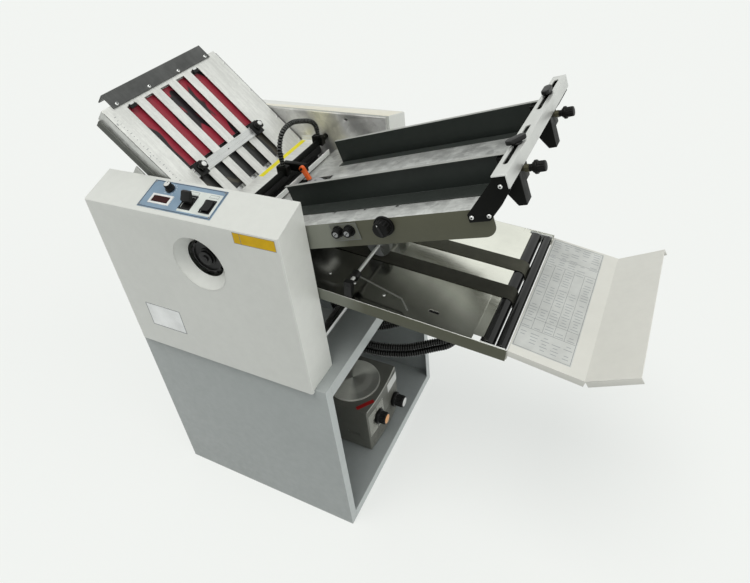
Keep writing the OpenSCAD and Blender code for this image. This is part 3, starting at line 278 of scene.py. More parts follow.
def spangle(name, color, dark, rough, scale, metal, patchy=(4.5, 0.80), reflection_bands=None):
    """Galvanised sheet: crystal cells with their own tone, soft dull patches (scale, darkest tone),
    and painted reflection bands that lean along X."""
    m = Mat(name)
    vec = m.pos()
    warp = m.node("ShaderNodeTexNoise")
    warp.inputs["Scale"].default_value = scale * 0.9
    m.link(vec, warp.inputs["Vector"])
    small = m.node("ShaderNodeVectorMath", operation="SCALE")
    small.inputs[3].default_value = 0.02
    m.link(warp.outputs["Color"], small.inputs[0])
    warped = m.node("ShaderNodeVectorMath", operation="ADD")
    m.link(vec, warped.inputs[0])
    m.link(small.outputs[0], warped.inputs[1])
    crystal = m.node("ShaderNodeTexVoronoi", feature="F1")
    crystal.inputs["Scale"].default_value = scale
    m.link(warped.outputs[0], crystal.inputs["Vector"])
    random_tone = m.node("ShaderNodeSeparateColor")
    m.link(crystal.outputs["Color"], random_tone.inputs[0])
    cell = m.ramp(random_tone.outputs[0], [(0.0, dark), (1.0, 1.0)])
    patch = m.ramp(m.noise(patchy[0], detail=5, rough=0.6), [(0.32, patchy[1]), (0.7, 1.0)])
    scratch = m.ramp(m.noise(160.0, m.pos((0.1, 1.0, 0.1)), detail=5, rough=0.7),
                     [(0.42, 0.9), (0.6, 1.0)])
    tone = m.times(color, m.times(m.times(cell, patch), scratch))
    # Painted reflections: light and dark bands along a slant of X and Z
    if reflection_bands:
        x, _, z = m.xyz()
        slant = m.math("ADD", x, m.scaled(z, 0.99, 0.7))
        wave = m.math("ADD", slant, m.scaled(m.noise(14.0, detail=3), 0.5, 0.05))
        along = m.math("MULTIPLY", m.math("ADD", wave, 0.14), 2.3, clamp=True)
        tone = m.times(tone, m.ramp(along, reflection_bands))
    gloss = m.math("ADD", m.math("MULTIPLY", random_tone.outputs[1], 0.16), rough - 0.06)
    return m.set(tone, gloss, metal, m.bump(m.noise(700, detail=3), 0.05, 0.0005))


def brushed(name, color, rough, axis, metal=1.0, depth=0.10, tone=0.16, field=None, lobes=None):
    """Rolled or brushed metal with fine lines along one axis. A field is a painted reflection, a tone
    that grows across the sheet, (x0, x length, y0, y length, stops); lobes are two painted highlight
    sectors of a turned lid, from its middle and the cosine and sine of their direction."""
    m = Mat(name)
    scales = [260.0, 260.0, 260.0]
    scales[axis] = 6.0
    lines = m.noise(1.0, m.pos(tuple(scales)), detail=6, rough=0.7)
    col = m.times(m.ramp(lines, [(0.25, shade(color, 1 - tone)), (0.75, color)]),
                  m.ramp(m.noise(9.0), [(0.3, 0.86), (0.7, 1.0)]))
    # Painted reflection: the field's tone grows across the sheet
    if field:
        x, y, _ = m.xyz()
        x0, x_len, y0, y_len, stops = field
        grow = m.math("ADD", m.scaled(x, x0, 1 / x_len), m.scaled(y, y0, 1 / y_len), clamp=True)
        col = m.times(col, m.ramp(grow, stops))
    # Painted highlight: two bright sectors across the turned lid
    if lobes:
        x, y, _ = m.xyz()
        cx, cy, c, s = lobes
        dx, dy = m.math("SUBTRACT", x, cx), m.math("SUBTRACT", y, cy)
        u = m.math("ADD", m.math("MULTIPLY", dx, c), m.math("MULTIPLY", dy, s))
        v = m.math("SUBTRACT", m.math("MULTIPLY", dy, c), m.math("MULTIPLY", dx, s))
        uu, vv = m.math("MULTIPLY", u, u), m.math("MULTIPLY", v, v)
        share = m.math("DIVIDE", uu, m.math("ADD", m.math("ADD", uu, vv), 1e-6))
        col = m.times(col, m.ramp(share, [(0.0, 0.30), (0.5, 0.40), (0.85, 0.95)]))
    gloss = m.ramp(lines, [(0.2, rough * 0.75), (0.8, min(1, rough * 1.35))])
    return m.set(col, gloss, metal, m.bump(lines, depth, 0.0003))


def plastic(name, color, rough, grain_s=0.12, edge_tone=1.9, spec=0.5):
    """Moulded plastic: fine grain, rubbed edges a little lighter."""
    m = Mat(name)
    base = m.ramp(m.noise(24.0), [(0.3, shade(color, 0.86)), (0.7, shade(color, 1.08))])
    edge = m.math("MULTIPLY", m.edge(0.0008, 0.04, 0.35), 0.5)
    gloss = m.ramp(m.noise(90.0), [(0.3, rough * 0.85), (0.7, min(1, rough * 1.2))])
    bump = m.bump(m.noise(1400, detail=2), grain_s, 0.0004)
    return m.set(m.mix(edge, base, shade(color, edge_tone)), gloss, 0.0, bump, spec)


def rubber(name, color, rough, spec):
    """Dull rubber or soft hose, with dust in patches."""
    m = Mat(name)
    dust = m.ramp(m.noise(30.0, detail=6, rough=0.7), [(0.45, 0.0), (0.8, 0.35)])
    gloss = m.ramp(m.noise(120.0), [(0.3, rough * 0.85), (0.7, rough * 1.2)])
    bump = m.bump(m.noise(2200.0, detail=2), 0.15, 0.0003)
    return m.set(m.mix(dust, color, shade(color, 2.2)), gloss, 0.0, bump, spec)


def lining(name, color, dark, cut):
    """Glossy film under the slots, with darker slanting patches."""
    m = Mat(name)
    patch = m.noise(7.0, m.pos((1, 2.4, 1), (0.3, 0.5, 0.6)), detail=1.5, dist=0.6)
    col = m.mix(m.ramp(patch, [(cut - 0.012, 0.0), (cut + 0.012, 1.0)]), color, dark)
    col = m.times(col, m.ramp(m.noise(60.0), [(0.3, 0.88), (0.7, 1.0)]))
    return m.set(col, 0.30, 0.0, m.bump(m.noise(40.0), 0.03, 0.0006), 0.30, 0.10, 0.15)


def apron(name, near, far, x0, x1):
    """Satin painted flange whose tone falls along X, with faint marks."""
    m = Mat(name)
    along = m.scaled(m.xyz()[0], x0, 1.0 / (x1 - x0), clamp=True)
    marks = m.ramp(m.noise(38.0, detail=6, rough=0.7), [(0.35, 0.95), (0.62, 1.0)])
    edge = m.math("MULTIPLY", m.edge(0.0010, 0.03, 0.3), 0.3)
    col = m.mix(edge, m.times(m.mix(along, near, far), marks), shade(near, 1.4))
    return m.set(col, 0.45, 0.15, m.bump(m.noise(900.0, detail=2), 0.05, 0.0005), 0.28)


# -------------------------------- the machine's materials
COVER_COAT = dict(rough=0.33, peel=1100, peel_s=0.05, grime=0.06, coat=0.35)
STAND_COAT = dict(rough=0.45, peel=900, peel_s=0.10, grime=0.10, coat=0.1)
DARK_COAT = dict(rough=0.42, peel=1300, peel_s=0.10, grime=0.2, coat=0.0, spec=0.22)
BLACK_COAT = dict(rough=0.40, peel=1300, peel_s=0.08, grime=0.2, coat=0.0, spec=0.08)
TRAY_COAT = dict(rough=0.42, peel=1000, peel_s=0.05, grime=0.06, coat=0.2)
PUMP_COAT = dict(rough=0.42, peel=420, peel_s=0.35, grime=0.15, coat=0.05)
# Painted reflections on the far frame's inner wall, as tones along X that lean with Z, with cream
# highlights
FRAME_REFLECTIONS = [(0.09, 0.47), (0.19, 0.58), (0.30, 0.95), (0.39, 0.62), (0.47, (0.98, 0.96, 0.80)),
               (0.545, (1.0, 0.98, 0.84)), (0.61, 0.98), (0.68, 0.50), (0.75, 0.48), (0.81, 0.84),
               (0.95, 0.84)]
# Painted reflection on the delivery sheet: dark towards its inner end and near side
DELIVERY_REFLECTIONS = [(0.0, 0.16), (0.16, 0.22), (0.40, 0.36), (0.52, 0.50), (0.80, 0.88), (1.0, 1.0)]
FILM = dict(grain_s=0.04, edge_tone=1.05)

MATS = {
    "cover": paint("cover_paint", (0.650, 0.665, 0.625), (0.80, 0.81, 0.78), **COVER_COAT),
    # Lighter copy of the cover paint for the covers' +X ends: painted light
    "cover_end": paint("cover_end_painted_light", (0.81, 0.825, 0.775), (0.84, 0.85, 0.82), **COVER_COAT),
    # Warm tint for a strip of the far cover's top: painted reflection
    "cover_warm_reflection": paint("cover_top_painted_reflection", (0.70, 0.665, 0.53), (0.80, 0.79, 0.70), **COVER_COAT),
    "stand": paint("stand_paint", (0.350, 0.378, 0.372), (0.47, 0.50, 0.49), **STAND_COAT),
    # Lighter copy of the stand paint for its +X ends: painted light
    "stand_end": paint("stand_end_painted_light", (0.55, 0.59, 0.58), (0.60, 0.63, 0.62), **STAND_COAT),
    "rail": paint("rail_paint", (0.110, 0.115, 0.102), (0.30, 0.31, 0.29), **DARK_COAT),
    "foot": paint("foot_paint", (0.034, 0.040, 0.036), (0.16, 0.17, 0.16), **DARK_COAT),
    "dark": paint("dark_paint", (0.020, 0.025, 0.022), (0.16, 0.17, 0.16), **DARK_COAT),
    "black": paint("black_paint", (0.0035, 0.0040, 0.0032), (0.05, 0.05, 0.05), **BLACK_COAT),
    "tray": paint("tray_paint", (0.70, 0.70, 0.645), (0.78, 0.78, 0.75), **TRAY_COAT),
    "pump": paint("pump_shell", (0.135, 0.138, 0.118), (0.28, 0.29, 0.27), **PUMP_COAT),
    "apron": apron("apron_paint", (0.235, 0.245, 0.205), (0.094, 0.095, 0.064), 0.315, 0.360),
    "apron_low": apron("delivery_flange_paint", (0.185, 0.195, 0.160), (0.086, 0.089, 0.061),
                       0.325, 0.375),
    "galv": spangle("galvanised", (0.66, 0.67, 0.64), 0.86, 0.40, 60, 0.60),
    "galv_fine": spangle("galvanised_fine", (0.68, 0.69, 0.66), 0.88, 0.36, 90, 0.7),
    "sheet": spangle("plate_steel", (0.84, 0.85, 0.81), 0.93, 0.40, 120, 0.40),
    # Far frame, with painted reflection bands
    "far_frame": spangle("galvanised_far", (0.90, 0.90, 0.875), 0.84, 0.40, 60, 0.50,
                         (30.0, 0.84), FRAME_REFLECTIONS),
    "table": spangle("galvanised_table", (0.84, 0.86, 0.83), 0.80, 0.38, 70, 0.60, (26.0, 0.62)),
    "end": spangle("end_bar_steel", (0.105, 0.108, 0.105), 0.86, 0.36, 60, 0.5, (22.0, 0.72)),
    # Delivery sheet: its field is a painted reflection
    "mirror": brushed("delivery_steel", (0.95, 0.95, 0.86), 0.17, 0, depth=0.012, tone=0.04,
                      field=(0.335, 0.28, -0.10, 0.15, DELIVERY_REFLECTIONS)),
    "edge_grey": brushed("dull_steel", (0.40, 0.41, 0.385), 0.42, 0, metal=0.4),
    "brass": brushed("yellowed_steel", (0.085, 0.080, 0.055), 0.38, 0),
    "bright": brushed("bright_steel", (0.74, 0.75, 0.74), 0.28, 1),
    "alu": brushed("satin_aluminium", (0.72, 0.73, 0.705), 0.42, 1, metal=0.6, depth=0.06, tone=0.08),
    # Pump lid with two painted highlight sectors
    "cap": brushed("pump_cap_metal", (0.86, 0.87, 0.78), 0.42, 0, metal=0.25, depth=0.05, tone=0.1,
                   lobes=(LID_X * MM, PUMP_Y * MM, 0.10, 0.995)),
    "hose": rubber("hose_rubber", (0.0045, 0.0050, 0.0040), 0.22, 0.34),
    # Feeder hose rubber, lighter and glossier to stand in for its rib highlights: painted highlight
    "loop_hose": rubber("loop_hose_rubber_highlight", (0.040, 0.043, 0.038), 0.26, 0.55),
    # Near-black matte rubber in the hose grooves: painted shade
    "groove": rubber("hose_groove_shade", (0.0006, 0.0006, 0.0006), 0.8, 0.02),
    "belt": rubber("belt_rubber", (0.036, 0.036, 0.028), 0.75, 0.15),
    "belt_far": rubber("belt_rubber_far_lighter", (0.078, 0.078, 0.060), 0.75, 0.15),
    "roller": rubber("roller_rubber", (0.013, 0.013, 0.013), 0.5, 0.25),
    "plastic": plastic("black_plastic", (0.0060, 0.0062, 0.0060), 0.34, spec=0.22),
    "deep": plastic("deep_black", (0.0030, 0.0031, 0.0028), 0.36, edge_tone=3.0, spec=0.12),
    "gloss": plastic("gloss_black", (0.006, 0.006, 0.006), 0.16, 0.02, 1.3, 0.4),
    "clear": plastic("pale_nylon", (0.70, 0.72, 0.70), 0.3, 0.03, 1.1),
    "orange": plastic("orange_plastic", (0.80, 0.13, 0.02), 0.35, edge_tone=1.15),
    "amber": plastic("amber_plastic", (0.80, 0.38, 0.13), 0.35, edge_tone=1.15),
    "white": plastic("white_plastic", (0.72, 0.73, 0.71), 0.4, edge_tone=1.08),
    "grey": plastic("grey_plastic", (0.30, 0.31, 0.31), 0.5, edge_tone=1.2),
    # Pale tone of the pump's ribs and top edge line: painted highlight
    "pump_highlight": plastic("pump_rib_highlights", (0.52, 0.53, 0.48), 0.4),
    "yellow": plastic("yellow_film", (0.68, 0.42, 0.004), 0.5, edge_tone=1.02, spec=0.2),
    "lemon": plastic("lemon_film", (0.74, 0.66, 0.02), 0.45, edge_tone=1.02, spec=0.25),
    "red_film": plastic("red_film", (0.42, 0.012, 0.012), 0.35, edge_tone=1.1),
    "paper": plastic("white_film", (0.78, 0.80, 0.78), 0.38, edge_tone=1.03),
    "field": plastic("switch_field", (0.62, 0.66, 0.62), 0.38, edge_tone=1.03),
    "label": plastic("label_film", (0.87, 0.89, 0.88), 0.34, edge_tone=1.01),
    "chart": plastic("chart_film", (0.57, 0.585, 0.56), 0.42, edge_tone=1.03),
    "ink": plastic("grey_ink", (0.16, 0.17, 0.18), 0.6),
    "ink_pale": plastic("pale_ink", (0.30, 0.32, 0.33), 0.6),
    "panel": plastic("panel_blue", (0.200, 0.292, 0.385), 0.34, **FILM),
    "panel_dark": plastic("panel_border", (0.050, 0.080, 0.120), 0.34, **FILM),
    "valve": plastic("valve_plate_film", (0.145, 0.150, 0.120), 0.40, 0.03, 1.2, 0.3),
    "led": plastic("display_window", (0.028, 0.004, 0.004), 0.16, 0.0, 1.0, 0.10),
    "red": lining("red_lining", (0.29, 0.028, 0.045), (0.020, 0.016, 0.018), 0.56),
    "lining": lining("dark_lining", (0.030, 0.031, 0.030), (0.075, 0.070, 0.055), 0.60),
}

# The material of each solid; those not named here are black plastic
NODES_OF = {
    "stand": "stand_side_near stand_side_far stand_end_panel stand_shelves",
    "cover": "side_cover_near side_cover_far",
    "galv": "side_frame_near plate2_cassette",
    "far_frame": "side_frame_far",
    "table": "feed_table",
    "galv_fine": "plate1_lower_grid",
    "mirror": "delivery_table",
    "sheet": "plate1_upper_grid roller_cover",
    "bright": "fasteners tie_bars bearings plate1_stop_bar plate2_stop_bar",
    "valve": "valve_plate",
    "alu": "crossbar stacker_rod",
    "dark": "side_guide_near side_guide_far",
    "rail": "plate1_side_rails",
    "end": "plate1_end_bar",
    "black": "feed_bar crossbar_brackets",
    "roller": "fold_roller_1 fold_roller_2 fold_roller_3 fold_roller_4 belt_roller",
    "gloss": "end_roller_inner end_roller_outer",
    "panel": "control_panel",
    "orange": "feed_lever",
    "white": "register_strip",
    "grey": "suction_wheel",
    "belt": "delivery_belts",
    "hose": "air_hoses feeder_hose",
    "tray": "catch_tray",
    "pump": "pump_housing",
}
MAT_OF = {n: mat for mat, names in NODES_OF.items() for n in names.split()}
for n, o in NODES.items():
    o.data.materials.clear()
    o.data.materials.append(MATS[MAT_OF.get(n, "plastic")])
    for p in o.data.polygons:
        p.material_index = 0

# -------------------------------- pieces and skins of the solids
BODY_OF = {n: body for body, names in frame["record"]["behaviour"]["bodies"].items() for n in names}
SHARP = math.radians(28)        # edges sharper than this are rounded
FACING = 0.6                    # a face looks along an axis when its normal's share is above this
SQUARE = 0.9                    # the same, without the rounded edges


def put(name, me, body, smooth_to):
    """Makes a piece of a mesh, smooth up to an angle, on its body."""
    for p in me.polygons:
        p.use_smooth = True
    me.set_sharp_from_angle(angle=math.radians(smooth_to))
    o = bpy.data.objects.new(name, me)
    SCENE.collection.objects.link(o)
    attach(o, body)
    return o


def paint_faces(o, mat, test, m):
    """Gives another material to the faces whose middle and normal pass a test, in a local frame."""
    to_local = m.inverted()
    turned = m.to_3x3().normalized().inverted()
    o.data.materials.append(MATS[mat])
    for p in o.data.polygons:
        if test(to_local @ p.center, turned @ p.normal):
            p.material_index = len(o.data.materials) - 1


def skin(names, *paints, m=ROW, width=0.0006, seg=2):
    """Skins over solids with their sharp edges rounded, which stand for the nodes. A paint is a
    material and the test for its faces, by middle c and normal v in the local frame m."""
    for n in names.split():
        me = NODES[n].data.copy()
        bm = bmesh.new()
        bm.from_mesh(me)
        bmesh.ops.remove_doubles(bm, verts=bm.verts, dist=2e-6)
        edges = [e for e in bm.edges if len(e.link_faces) == 2 and e.calc_face_angle(0) > SHARP]
        if edges:
            bmesh.ops.bevel(bm, geom=edges, offset=width, offset_type="OFFSET", segments=seg,
                            profile=0.6, affect="EDGES", clamp_overlap=False, miter_outer="SHARP")
            bmesh.ops.dissolve_degenerate(bm, dist=1e-6, edges=bm.edges)
        bm.to_mesh(me)
        bm.free()
        o = put(n + "_skin", me, BODY_OF[n], 38)
        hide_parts(n)
        for mat, test in paints:
            paint_faces(o, mat, test, m)


# -------------------------------- mesh building
class Bits:
    """Several shapes gathered into one mesh, each with its own material."""

    def __init__(self, name, body, slot_name):
        self.name, self.body, self.slot = name, body, slot_name
        self.bm = bmesh.new()
        self.mats = []

    def take(self, bm, m, mat):
        """Moves a shape into the mesh, through a local frame."""
        bmesh.ops.recalc_face_normals(bm, faces=bm.faces)
        if mat not in self.mats:
            self.mats.append(mat)
        for f in bm.faces:
            f.material_index = self.mats.index(mat)
        bmesh.ops.transform(bm, matrix=m, verts=bm.verts)
        me = bpy.data.meshes.new("tmp")
        bm.to_mesh(me)
        bm.free()
        self.bm.from_mesh(me)
        bpy.data.meshes.remove(me)

    def lathe(self, m, profile, mat, n=40, lobes=0, depth=0.0, power=2.0, zone=(0, 0)):
        """Turned shape about local z; its grip is lobed between two heights."""
        bm = bmesh.new()
        rings = []
        for r, z in profile:
            if r < 1e-6:
                rings.append([bm.verts.new((0, 0, z))])
                continue
            ring = []
            for k in range(n):
                a = 2 * math.pi * k / n
                q = r
                if lobes and zone[0] <= z <= zone[1]:
                    q = r * (1 - depth * (0.5 + 0.5 * math.cos(lobes * a)) ** power)
                ring.append(bm.verts.new((q * math.cos(a), q * math.sin(a), z)))
            rings.append(ring)
        for a, b in zip(rings, rings[1:]):
            for k in range(n):
                k2 = (k + 1) % n
                if len(a) == 1:
                    bm.faces.new((a[0], b[k], b[k2]))
                elif len(b) == 1:
                    bm.faces.new((a[k], a[k2], b[0]))
                else:
                    bm.faces.new((a[k], a[k2], b[k2], b[k]))
        for ring in (rings[0], rings[-1]):
            if len(ring) > 1:
                bm.faces.new(ring)
        self.take(bm, m, mat)

    def plate(self, m, w, l, t, mat, r=1.0, bevel=0.0):
        """Rounded rectangle centred on the local origin, from z = 0 to t."""
        steps = 4
        bm = bmesh.new()
        outline = []
        for cx, cy, a0 in ((w / 2 - r, l / 2 - r, 0), (-w / 2 + r, l / 2 - r, 90),
                           (-w / 2 + r, -l / 2 + r, 180), (w / 2 - r, -l / 2 + r, 270)):
            for i in range(steps + 1):
                a = math.radians(a0 + 90 * i / steps)
                outline.append(bm.verts.new((cx + r * math.cos(a), cy + r * math.sin(a), 0)))
        made = bmesh.ops.extrude_face_region(bm, geom=[bm.faces.new(outline)])
        top = [v for v in made["geom"] if isinstance(v, bmesh.types.BMVert)]
        bmesh.ops.translate(bm, verts=top, vec=(0, 0, t))
        if bevel > 0:
            bmesh.ops.bevel(bm, geom=list(bm.edges), offset=bevel, segments=2, affect="EDGES",
                            clamp_overlap=True)
        self.take(bm, m, mat)

    def border(self, m, w, l, b, t, mat):
        """Thin rectangular border of width b."""
        for x, y, a, c in ((0, l / 2 - b / 2, w, b), (0, -l / 2 + b / 2, w, b),
                           (w / 2 - b / 2, 0, b, l - 2 * b), (-w / 2 + b / 2, 0, b, l - 2 * b)):
            self.plate(m @ shift(x, y, 0), a, c, t, mat, r=min(a, c) * 0.1)

    def screw(self, m, d, mat="bright", head=0.5):
        """Domed head with a six-sided socket, standing on local z = 0."""
        r = d / 2
        h = head * d
        dome = ((1, 0), (1, 0.25), (0.93, 0.45), (0.78, 0.66), (0.55, 0.8), (0.5, 0.8))
        socket = ((0.46, 0.803), (0.44, 0.806), (0, 0.78))
        self.lathe(m, [(r * u, h * v) for u, v in dome], mat, n=24)
        self.lathe(m, [(r * u, h * v) for u, v in socket], "plastic", n=6)

    def tube(self, pts, radii, mat, sides):
        """Tube along points in metres, with a radius for each."""
        bm = bmesh.new()
        rings = []
        u = None
        for i, (p, r) in enumerate(zip(pts, radii)):
            t = (pts[min(i + 1, len(pts) - 1)] - pts[max(i - 1, 0)]).normalized()
            u = t.orthogonal().normalized() if u is None else (u - t * u.dot(t)).normalized()
            w = t.cross(u)
            ring = []
            for k in range(sides):
                a = 2 * math.pi * k / sides
                ring.append(bm.verts.new(p + r * (math.cos(a) * u + math.sin(a) * w)))
            rings.append(ring)
        for a, b in zip(rings, rings[1:]):
            for k in range(sides):
                k2 = (k + 1) % sides
                bm.faces.new((a[k], a[k2], b[k2], b[k]))
        bm.faces.new(rings[0])
        bm.faces.new(rings[-1])
        self.take(bm, Matrix.Identity(4), mat)

    def done(self, *nodes, smooth_to=35):
        me = bpy.data.meshes.new(self.name)
        self.bm.to_mesh(me)
        self.bm.free()
        for mat in self.mats:
            me.materials.append(MATS[mat])
        o = put(self.name, me, self.body, smooth_to)
        if nodes:
            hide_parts(*nodes)
        return o


# -------------------------------- hoses
def spline(pts, per=24):
    """The route's own smooth curve in metres, sampled evenly by parameter."""
    n = len(pts) - 1
    out = []
    for j in range(n * per + 1):
        i = min(j // per, n - 1)
        f = j / per - i
        point = []
        for a, b, c, d in zip(pts[max(i - 1, 0)], pts[i], pts[i + 1], pts[min(i + 2, n)]):
            q = (2 * b + (c - a) * f + (2 * a - 5 * b + 4 * c - d) * f * f
                 + (3 * b - a - 3 * c + d) * f ** 3)
            point.append(0.5 * q * MM)
        out.append(Vector(point))
    return out


def even(pts, n):
    """Points at n equal steps along a line, and its length."""
    s = [0.0]
    for a, b in zip(pts, pts[1:]):
        s.append(s[-1] + (b - a).length)
    out, j = [], 0
    for i in range(n + 1):
        q = s[-1] * i / n
        while j < len(s) - 2 and s[j + 1] < q:
            j += 1
        f = (q - s[j]) / max(1e-12, s[j + 1] - s[j])
        out.append(pts[j].lerp(pts[j + 1], min(1, f)))
    return out, s[-1]


ROUTE_A = [[36, 0, 150], [26, 0, 150], [14, 0, 150], [-12, 0, 156], [-38, 0, 172],
    [-54, 0, 200], [-60, 0, 240], [-54, -3, 290], [-30, -8, 342], [15, -14, 390],
    [90, -22, 430], [180, -34, 456], [268, -38, 464], [320, -32, 466], [375, -10, 464],
    [425, 28, 462], [454, 52, 460], [465, 84, 459], [454, 118, 460], [425, 140, 463],
    [390, 141, 466], [358, 122, 469], [310, 76, 472], [262, 32, 476], [208, 4, 489],
    [168, -1, 516], [150, 0, 560], [150, 0, 700]]
ROUTE_B = [[36, 30, 150], [26, 30, 150], [14, 30, 150], [-12, 30, 156], [-38, 30, 172],
    [-54, 30, 200], [-60, 29, 240], [-54, 24, 290], [-28, 16, 340], [20, 4, 380],
    [95, -14, 408], [180, -32, 432], [268, -40, 441], [320, -34, 443], [376, -11, 441],
    [428, 30, 439], [457, 56, 437], [468, 88, 436], [457, 123, 437], [427, 145, 440],
    [391, 147, 443], [358, 128, 446], [310, 82, 449], [262, 42, 453], [212, 28, 465],
    [170, 26, 496], [150, 26, 550], [150, 26, 700]]
LOOP = [[76, y, z] for y, z in ((-4, 962), (-4, 976), (-3, 1008), (20, 1039), (62, 1044), (110, 1028),
                                (146, 1010), (162, 992), (166, 975), (166, 962))]
HOSE_SIDES = 20
PLAIN_RIBS, PLAIN_R = 2, 0.86   # the plain ends, in ribs, and their share of the radius


def hose(name, route, d, pitch, node, mat="hose", wall=0.76, shaded_grooves=(0,)):
    """Corrugated hose: close round ribs on a thinner wall, plain at its two ends. Its listed groove
    rings take near-black painted shade.
    """
    shape = (wall, wall, 0.95, 1.0, 1.0, 0.95)
    per = len(shape)
    curve = spline(route)
    path, total = even(curve, 120)
    steps = int(total / pitch) * per
    plain = PLAIN_RIBS * per
    radii = []
    for i in range(steps + 1):
        share = PLAIN_R if i < plain or i > steps - plain else shape[i % per]
        radii.append(d / 2 * 0.995 * share)
    b = Bits(name, "machine", "hose_rubber")
    b.tube(even(curve, steps)[0], radii, mat, HOSE_SIDES)
    o = b.done(node, smooth_to=40)
    # Painted shade in the grooves
    o.data.materials.append(MATS["groove"])
    for p in o.data.polygons:
        if (p.index // HOSE_SIDES) % per in shaded_grooves:
            p.material_index = 1


hose("air_hose_a", ROUTE_A, 0.020, 0.0062, "air_hoses")
hose("air_hose_b", ROUTE_B, 0.020, 0.0062, "air_hoses")
# The feeder hose's lighter rubber stands in for its rib highlights
hose("feeder_hose_ribbed", LOOP, 0.013, 0.0068, "feeder_hose", "loop_hose", 0.70, (0, 1, 5))


# -------------------------------- stand, frames, covers and tables
# The stand's +X end faces take the lighter copy of its paint, as painted light
skin("stand_side_near stand_side_far stand_end_panel stand_shelves",
     ("stand_end", lambda c, v: v.x > SQUARE and c.x > END_X))
skin("side_frame_near side_frame_far tie_bars roller_cover plate1_upper_grid valve_plate "
     "paddle_switch rocker_switch handwheel feed_bar feed_lever register_strip suction_wheel "
     "crossbar crossbar_brackets")
# The far belts are a lighter rubber tone
skin("delivery_belts", ("belt_far", lambda c, v: c.y > 0))
skin("delivery_table",
     ("apron_low", lambda c, v: abs(v.y) > FACING and abs(c.y) > FLANGE_OUT),
     ("sheet", lambda c, v: v.z > FACING and abs(c.y) > FLANGE_Y), m=DELIVERY)
skin("feed_table", ("apron", lambda c, v: abs(v.y) > FACING and abs(c.y) > FLANGE_Y), m=FEED)
# The covers' +X end faces take the lighter copy of their paint, as painted light
COVER_END_LIGHT = ("cover_end", lambda c, v: v.x > SQUARE and c.x > END_X)
skin("side_cover_near", COVER_END_LIGHT, width=0.0009, seg=3)
# Painted warm reflection on the far cover's top, where it lies next to the fold rollers
skin("side_cover_far", COVER_END_LIGHT,
     ("cover_warm_reflection", lambda c, v: v.z > 0.8 and 200 < c.y < 262), width=0.0009, seg=3)

# -------------------------------- fold plates
# The lower sheet's backing is dark underneath
skin("plate1_lower_grid", ("dark", lambda c, v: c.z < -12.5 and abs(c.y) < 200), m=PLATE1,
     width=0.0004, seg=1)


def plate1_lining():
    """Three strips on the lower sheet, seen through the slots."""
    b = Bits("plate1_lining", "machine", "galvanised")
    for x, w, mat in ((-133.2, 192, "red"), (-30, 13.4, "plastic"), (24.9, 95, "lining")):
        b.plate(PLATE1 @ shift(x, -8, -9.96), w, 292, 0.12, mat, r=0.5)
    b.done()


plate1_lining()
skin("plate1_side_rails", width=0.0005, seg=1)
skin("plate1_end_bar", width=0.0008)
skin("plate2_cassette", width=0.0004, seg=1)
STOP_TOP = ("plastic", lambda c, v: c.z > 3.6)  # what stands on the stop bars' steel strips
skin("plate1_stop_bar", STOP_TOP, m=PLATE1, width=0.0005)
skin("plate2_stop_bar", STOP_TOP, m=PLATE2, width=0.0005)

# -------------------------------- guides, panel, bearings, stacker, pump
skin("side_guide_near side_guide_far",
     ("edge_grey", lambda c, v: c.z > GUIDE_TOP and v.z > FACING and c.x < CARRIAGE_U),
     ("black", lambda c, v: c.x > CARRIAGE_U),
     ("foot", lambda c, v: c.z < GUIDE_FOOT and v.z > FACING and c.x < CARRIAGE_U),
     m=FEED, width=0.0005)


def far_guide_foot():
    """Thin foot along the near side of the far guide."""
    b = Bits("far_guide_foot", "guide_far", "dark_steel")
    b.plate(FEED @ shift(150, GUIDE_FAR_Y - 11, 0.4), 486, 22, 0.7, "foot", r=0.5)
    b.done()


def raised(c):
    """Above the control panel's flat face."""
    return c.z > PANEL_T + 0.1


far_guide_foot()
# White frame of the display, foot of the speed knob, and the rims of the two switches
skin("control_panel",
     ("white", lambda c, v: raised(c) and abs(c.x - DISPLAY_AT[0]) < 31
      and abs(c.y - DISPLAY_AT[1]) < 14.5),
     ("alu", lambda c, v: raised(c) and math.dist(c.xy, SPEED_AT) < 7.75),
     ("plastic", lambda c, v: raised(c) and c.x > 5), m=ROOF, width=0.0003)
# The end rollers' blocks are pale nylon
skin("bearings", ("clear", lambda c, v: c.x > 600), width=0.0005, seg=1)
# Plastic feet and collars, grey wheels, and the side wire, painted a lighter dark tone that stands in
# for its highlights
skin("stacker_rod",
     ("plastic", lambda c, v: abs(c.y) > 189 and c.z < 60
      or 154 < abs(c.y) < 174 and abs(c.x - STACK_U) < 11),
     ("grey", lambda c, v: abs(c.y) < 75 and math.hypot(c.x - STACK_U, c.z - STACK_V) > 5),
     ("rail", lambda c, v: c.x > STACK_U + 12), m=DELIVERY)
skin("catch_tray", width=0.0008)
skin("pump_housing",
     ("cap", lambda c, v: c.z > PUMP_TOP + 0.3 and math.hypot(c.x - LID_X, c.y - PUMP_Y) < LID_R),
     width=0.0025, seg=3)
skin("end_roller_inner end_roller_outer", ("bright", lambda c, v: abs(c.y) > 198), width=0.0012, seg=3)
skin("guide_knob_near guide_knob_far", width=0.0022, seg=3)

# -------------------------------- turned and lobed knobs
SKIRT = ((0.72, 0), (0.96, 0), (1, 0.04), (1, 0.22), (0.97, 0.27), (0.86, 0.29))
GRIP = ((0.82, 0.28), (0.80, 0.34), (0.795, 0.85), (0.77, 0.94), (0.71, 0.985), (0.64, 1))
STOP_GRIP = ((7, 0), (8, 0.4), (8, 4), (11.2, 5), (12.6, 6.4), (12.9, 9), (12.6, 12.4), (11, 14.6),
             (8, 15.6), (6, 15.8))
STOP_CAP = ((6.4, 15.2), (6.4, 16), (5.8, 17), (4.2, 17.6), (0, 17.9))


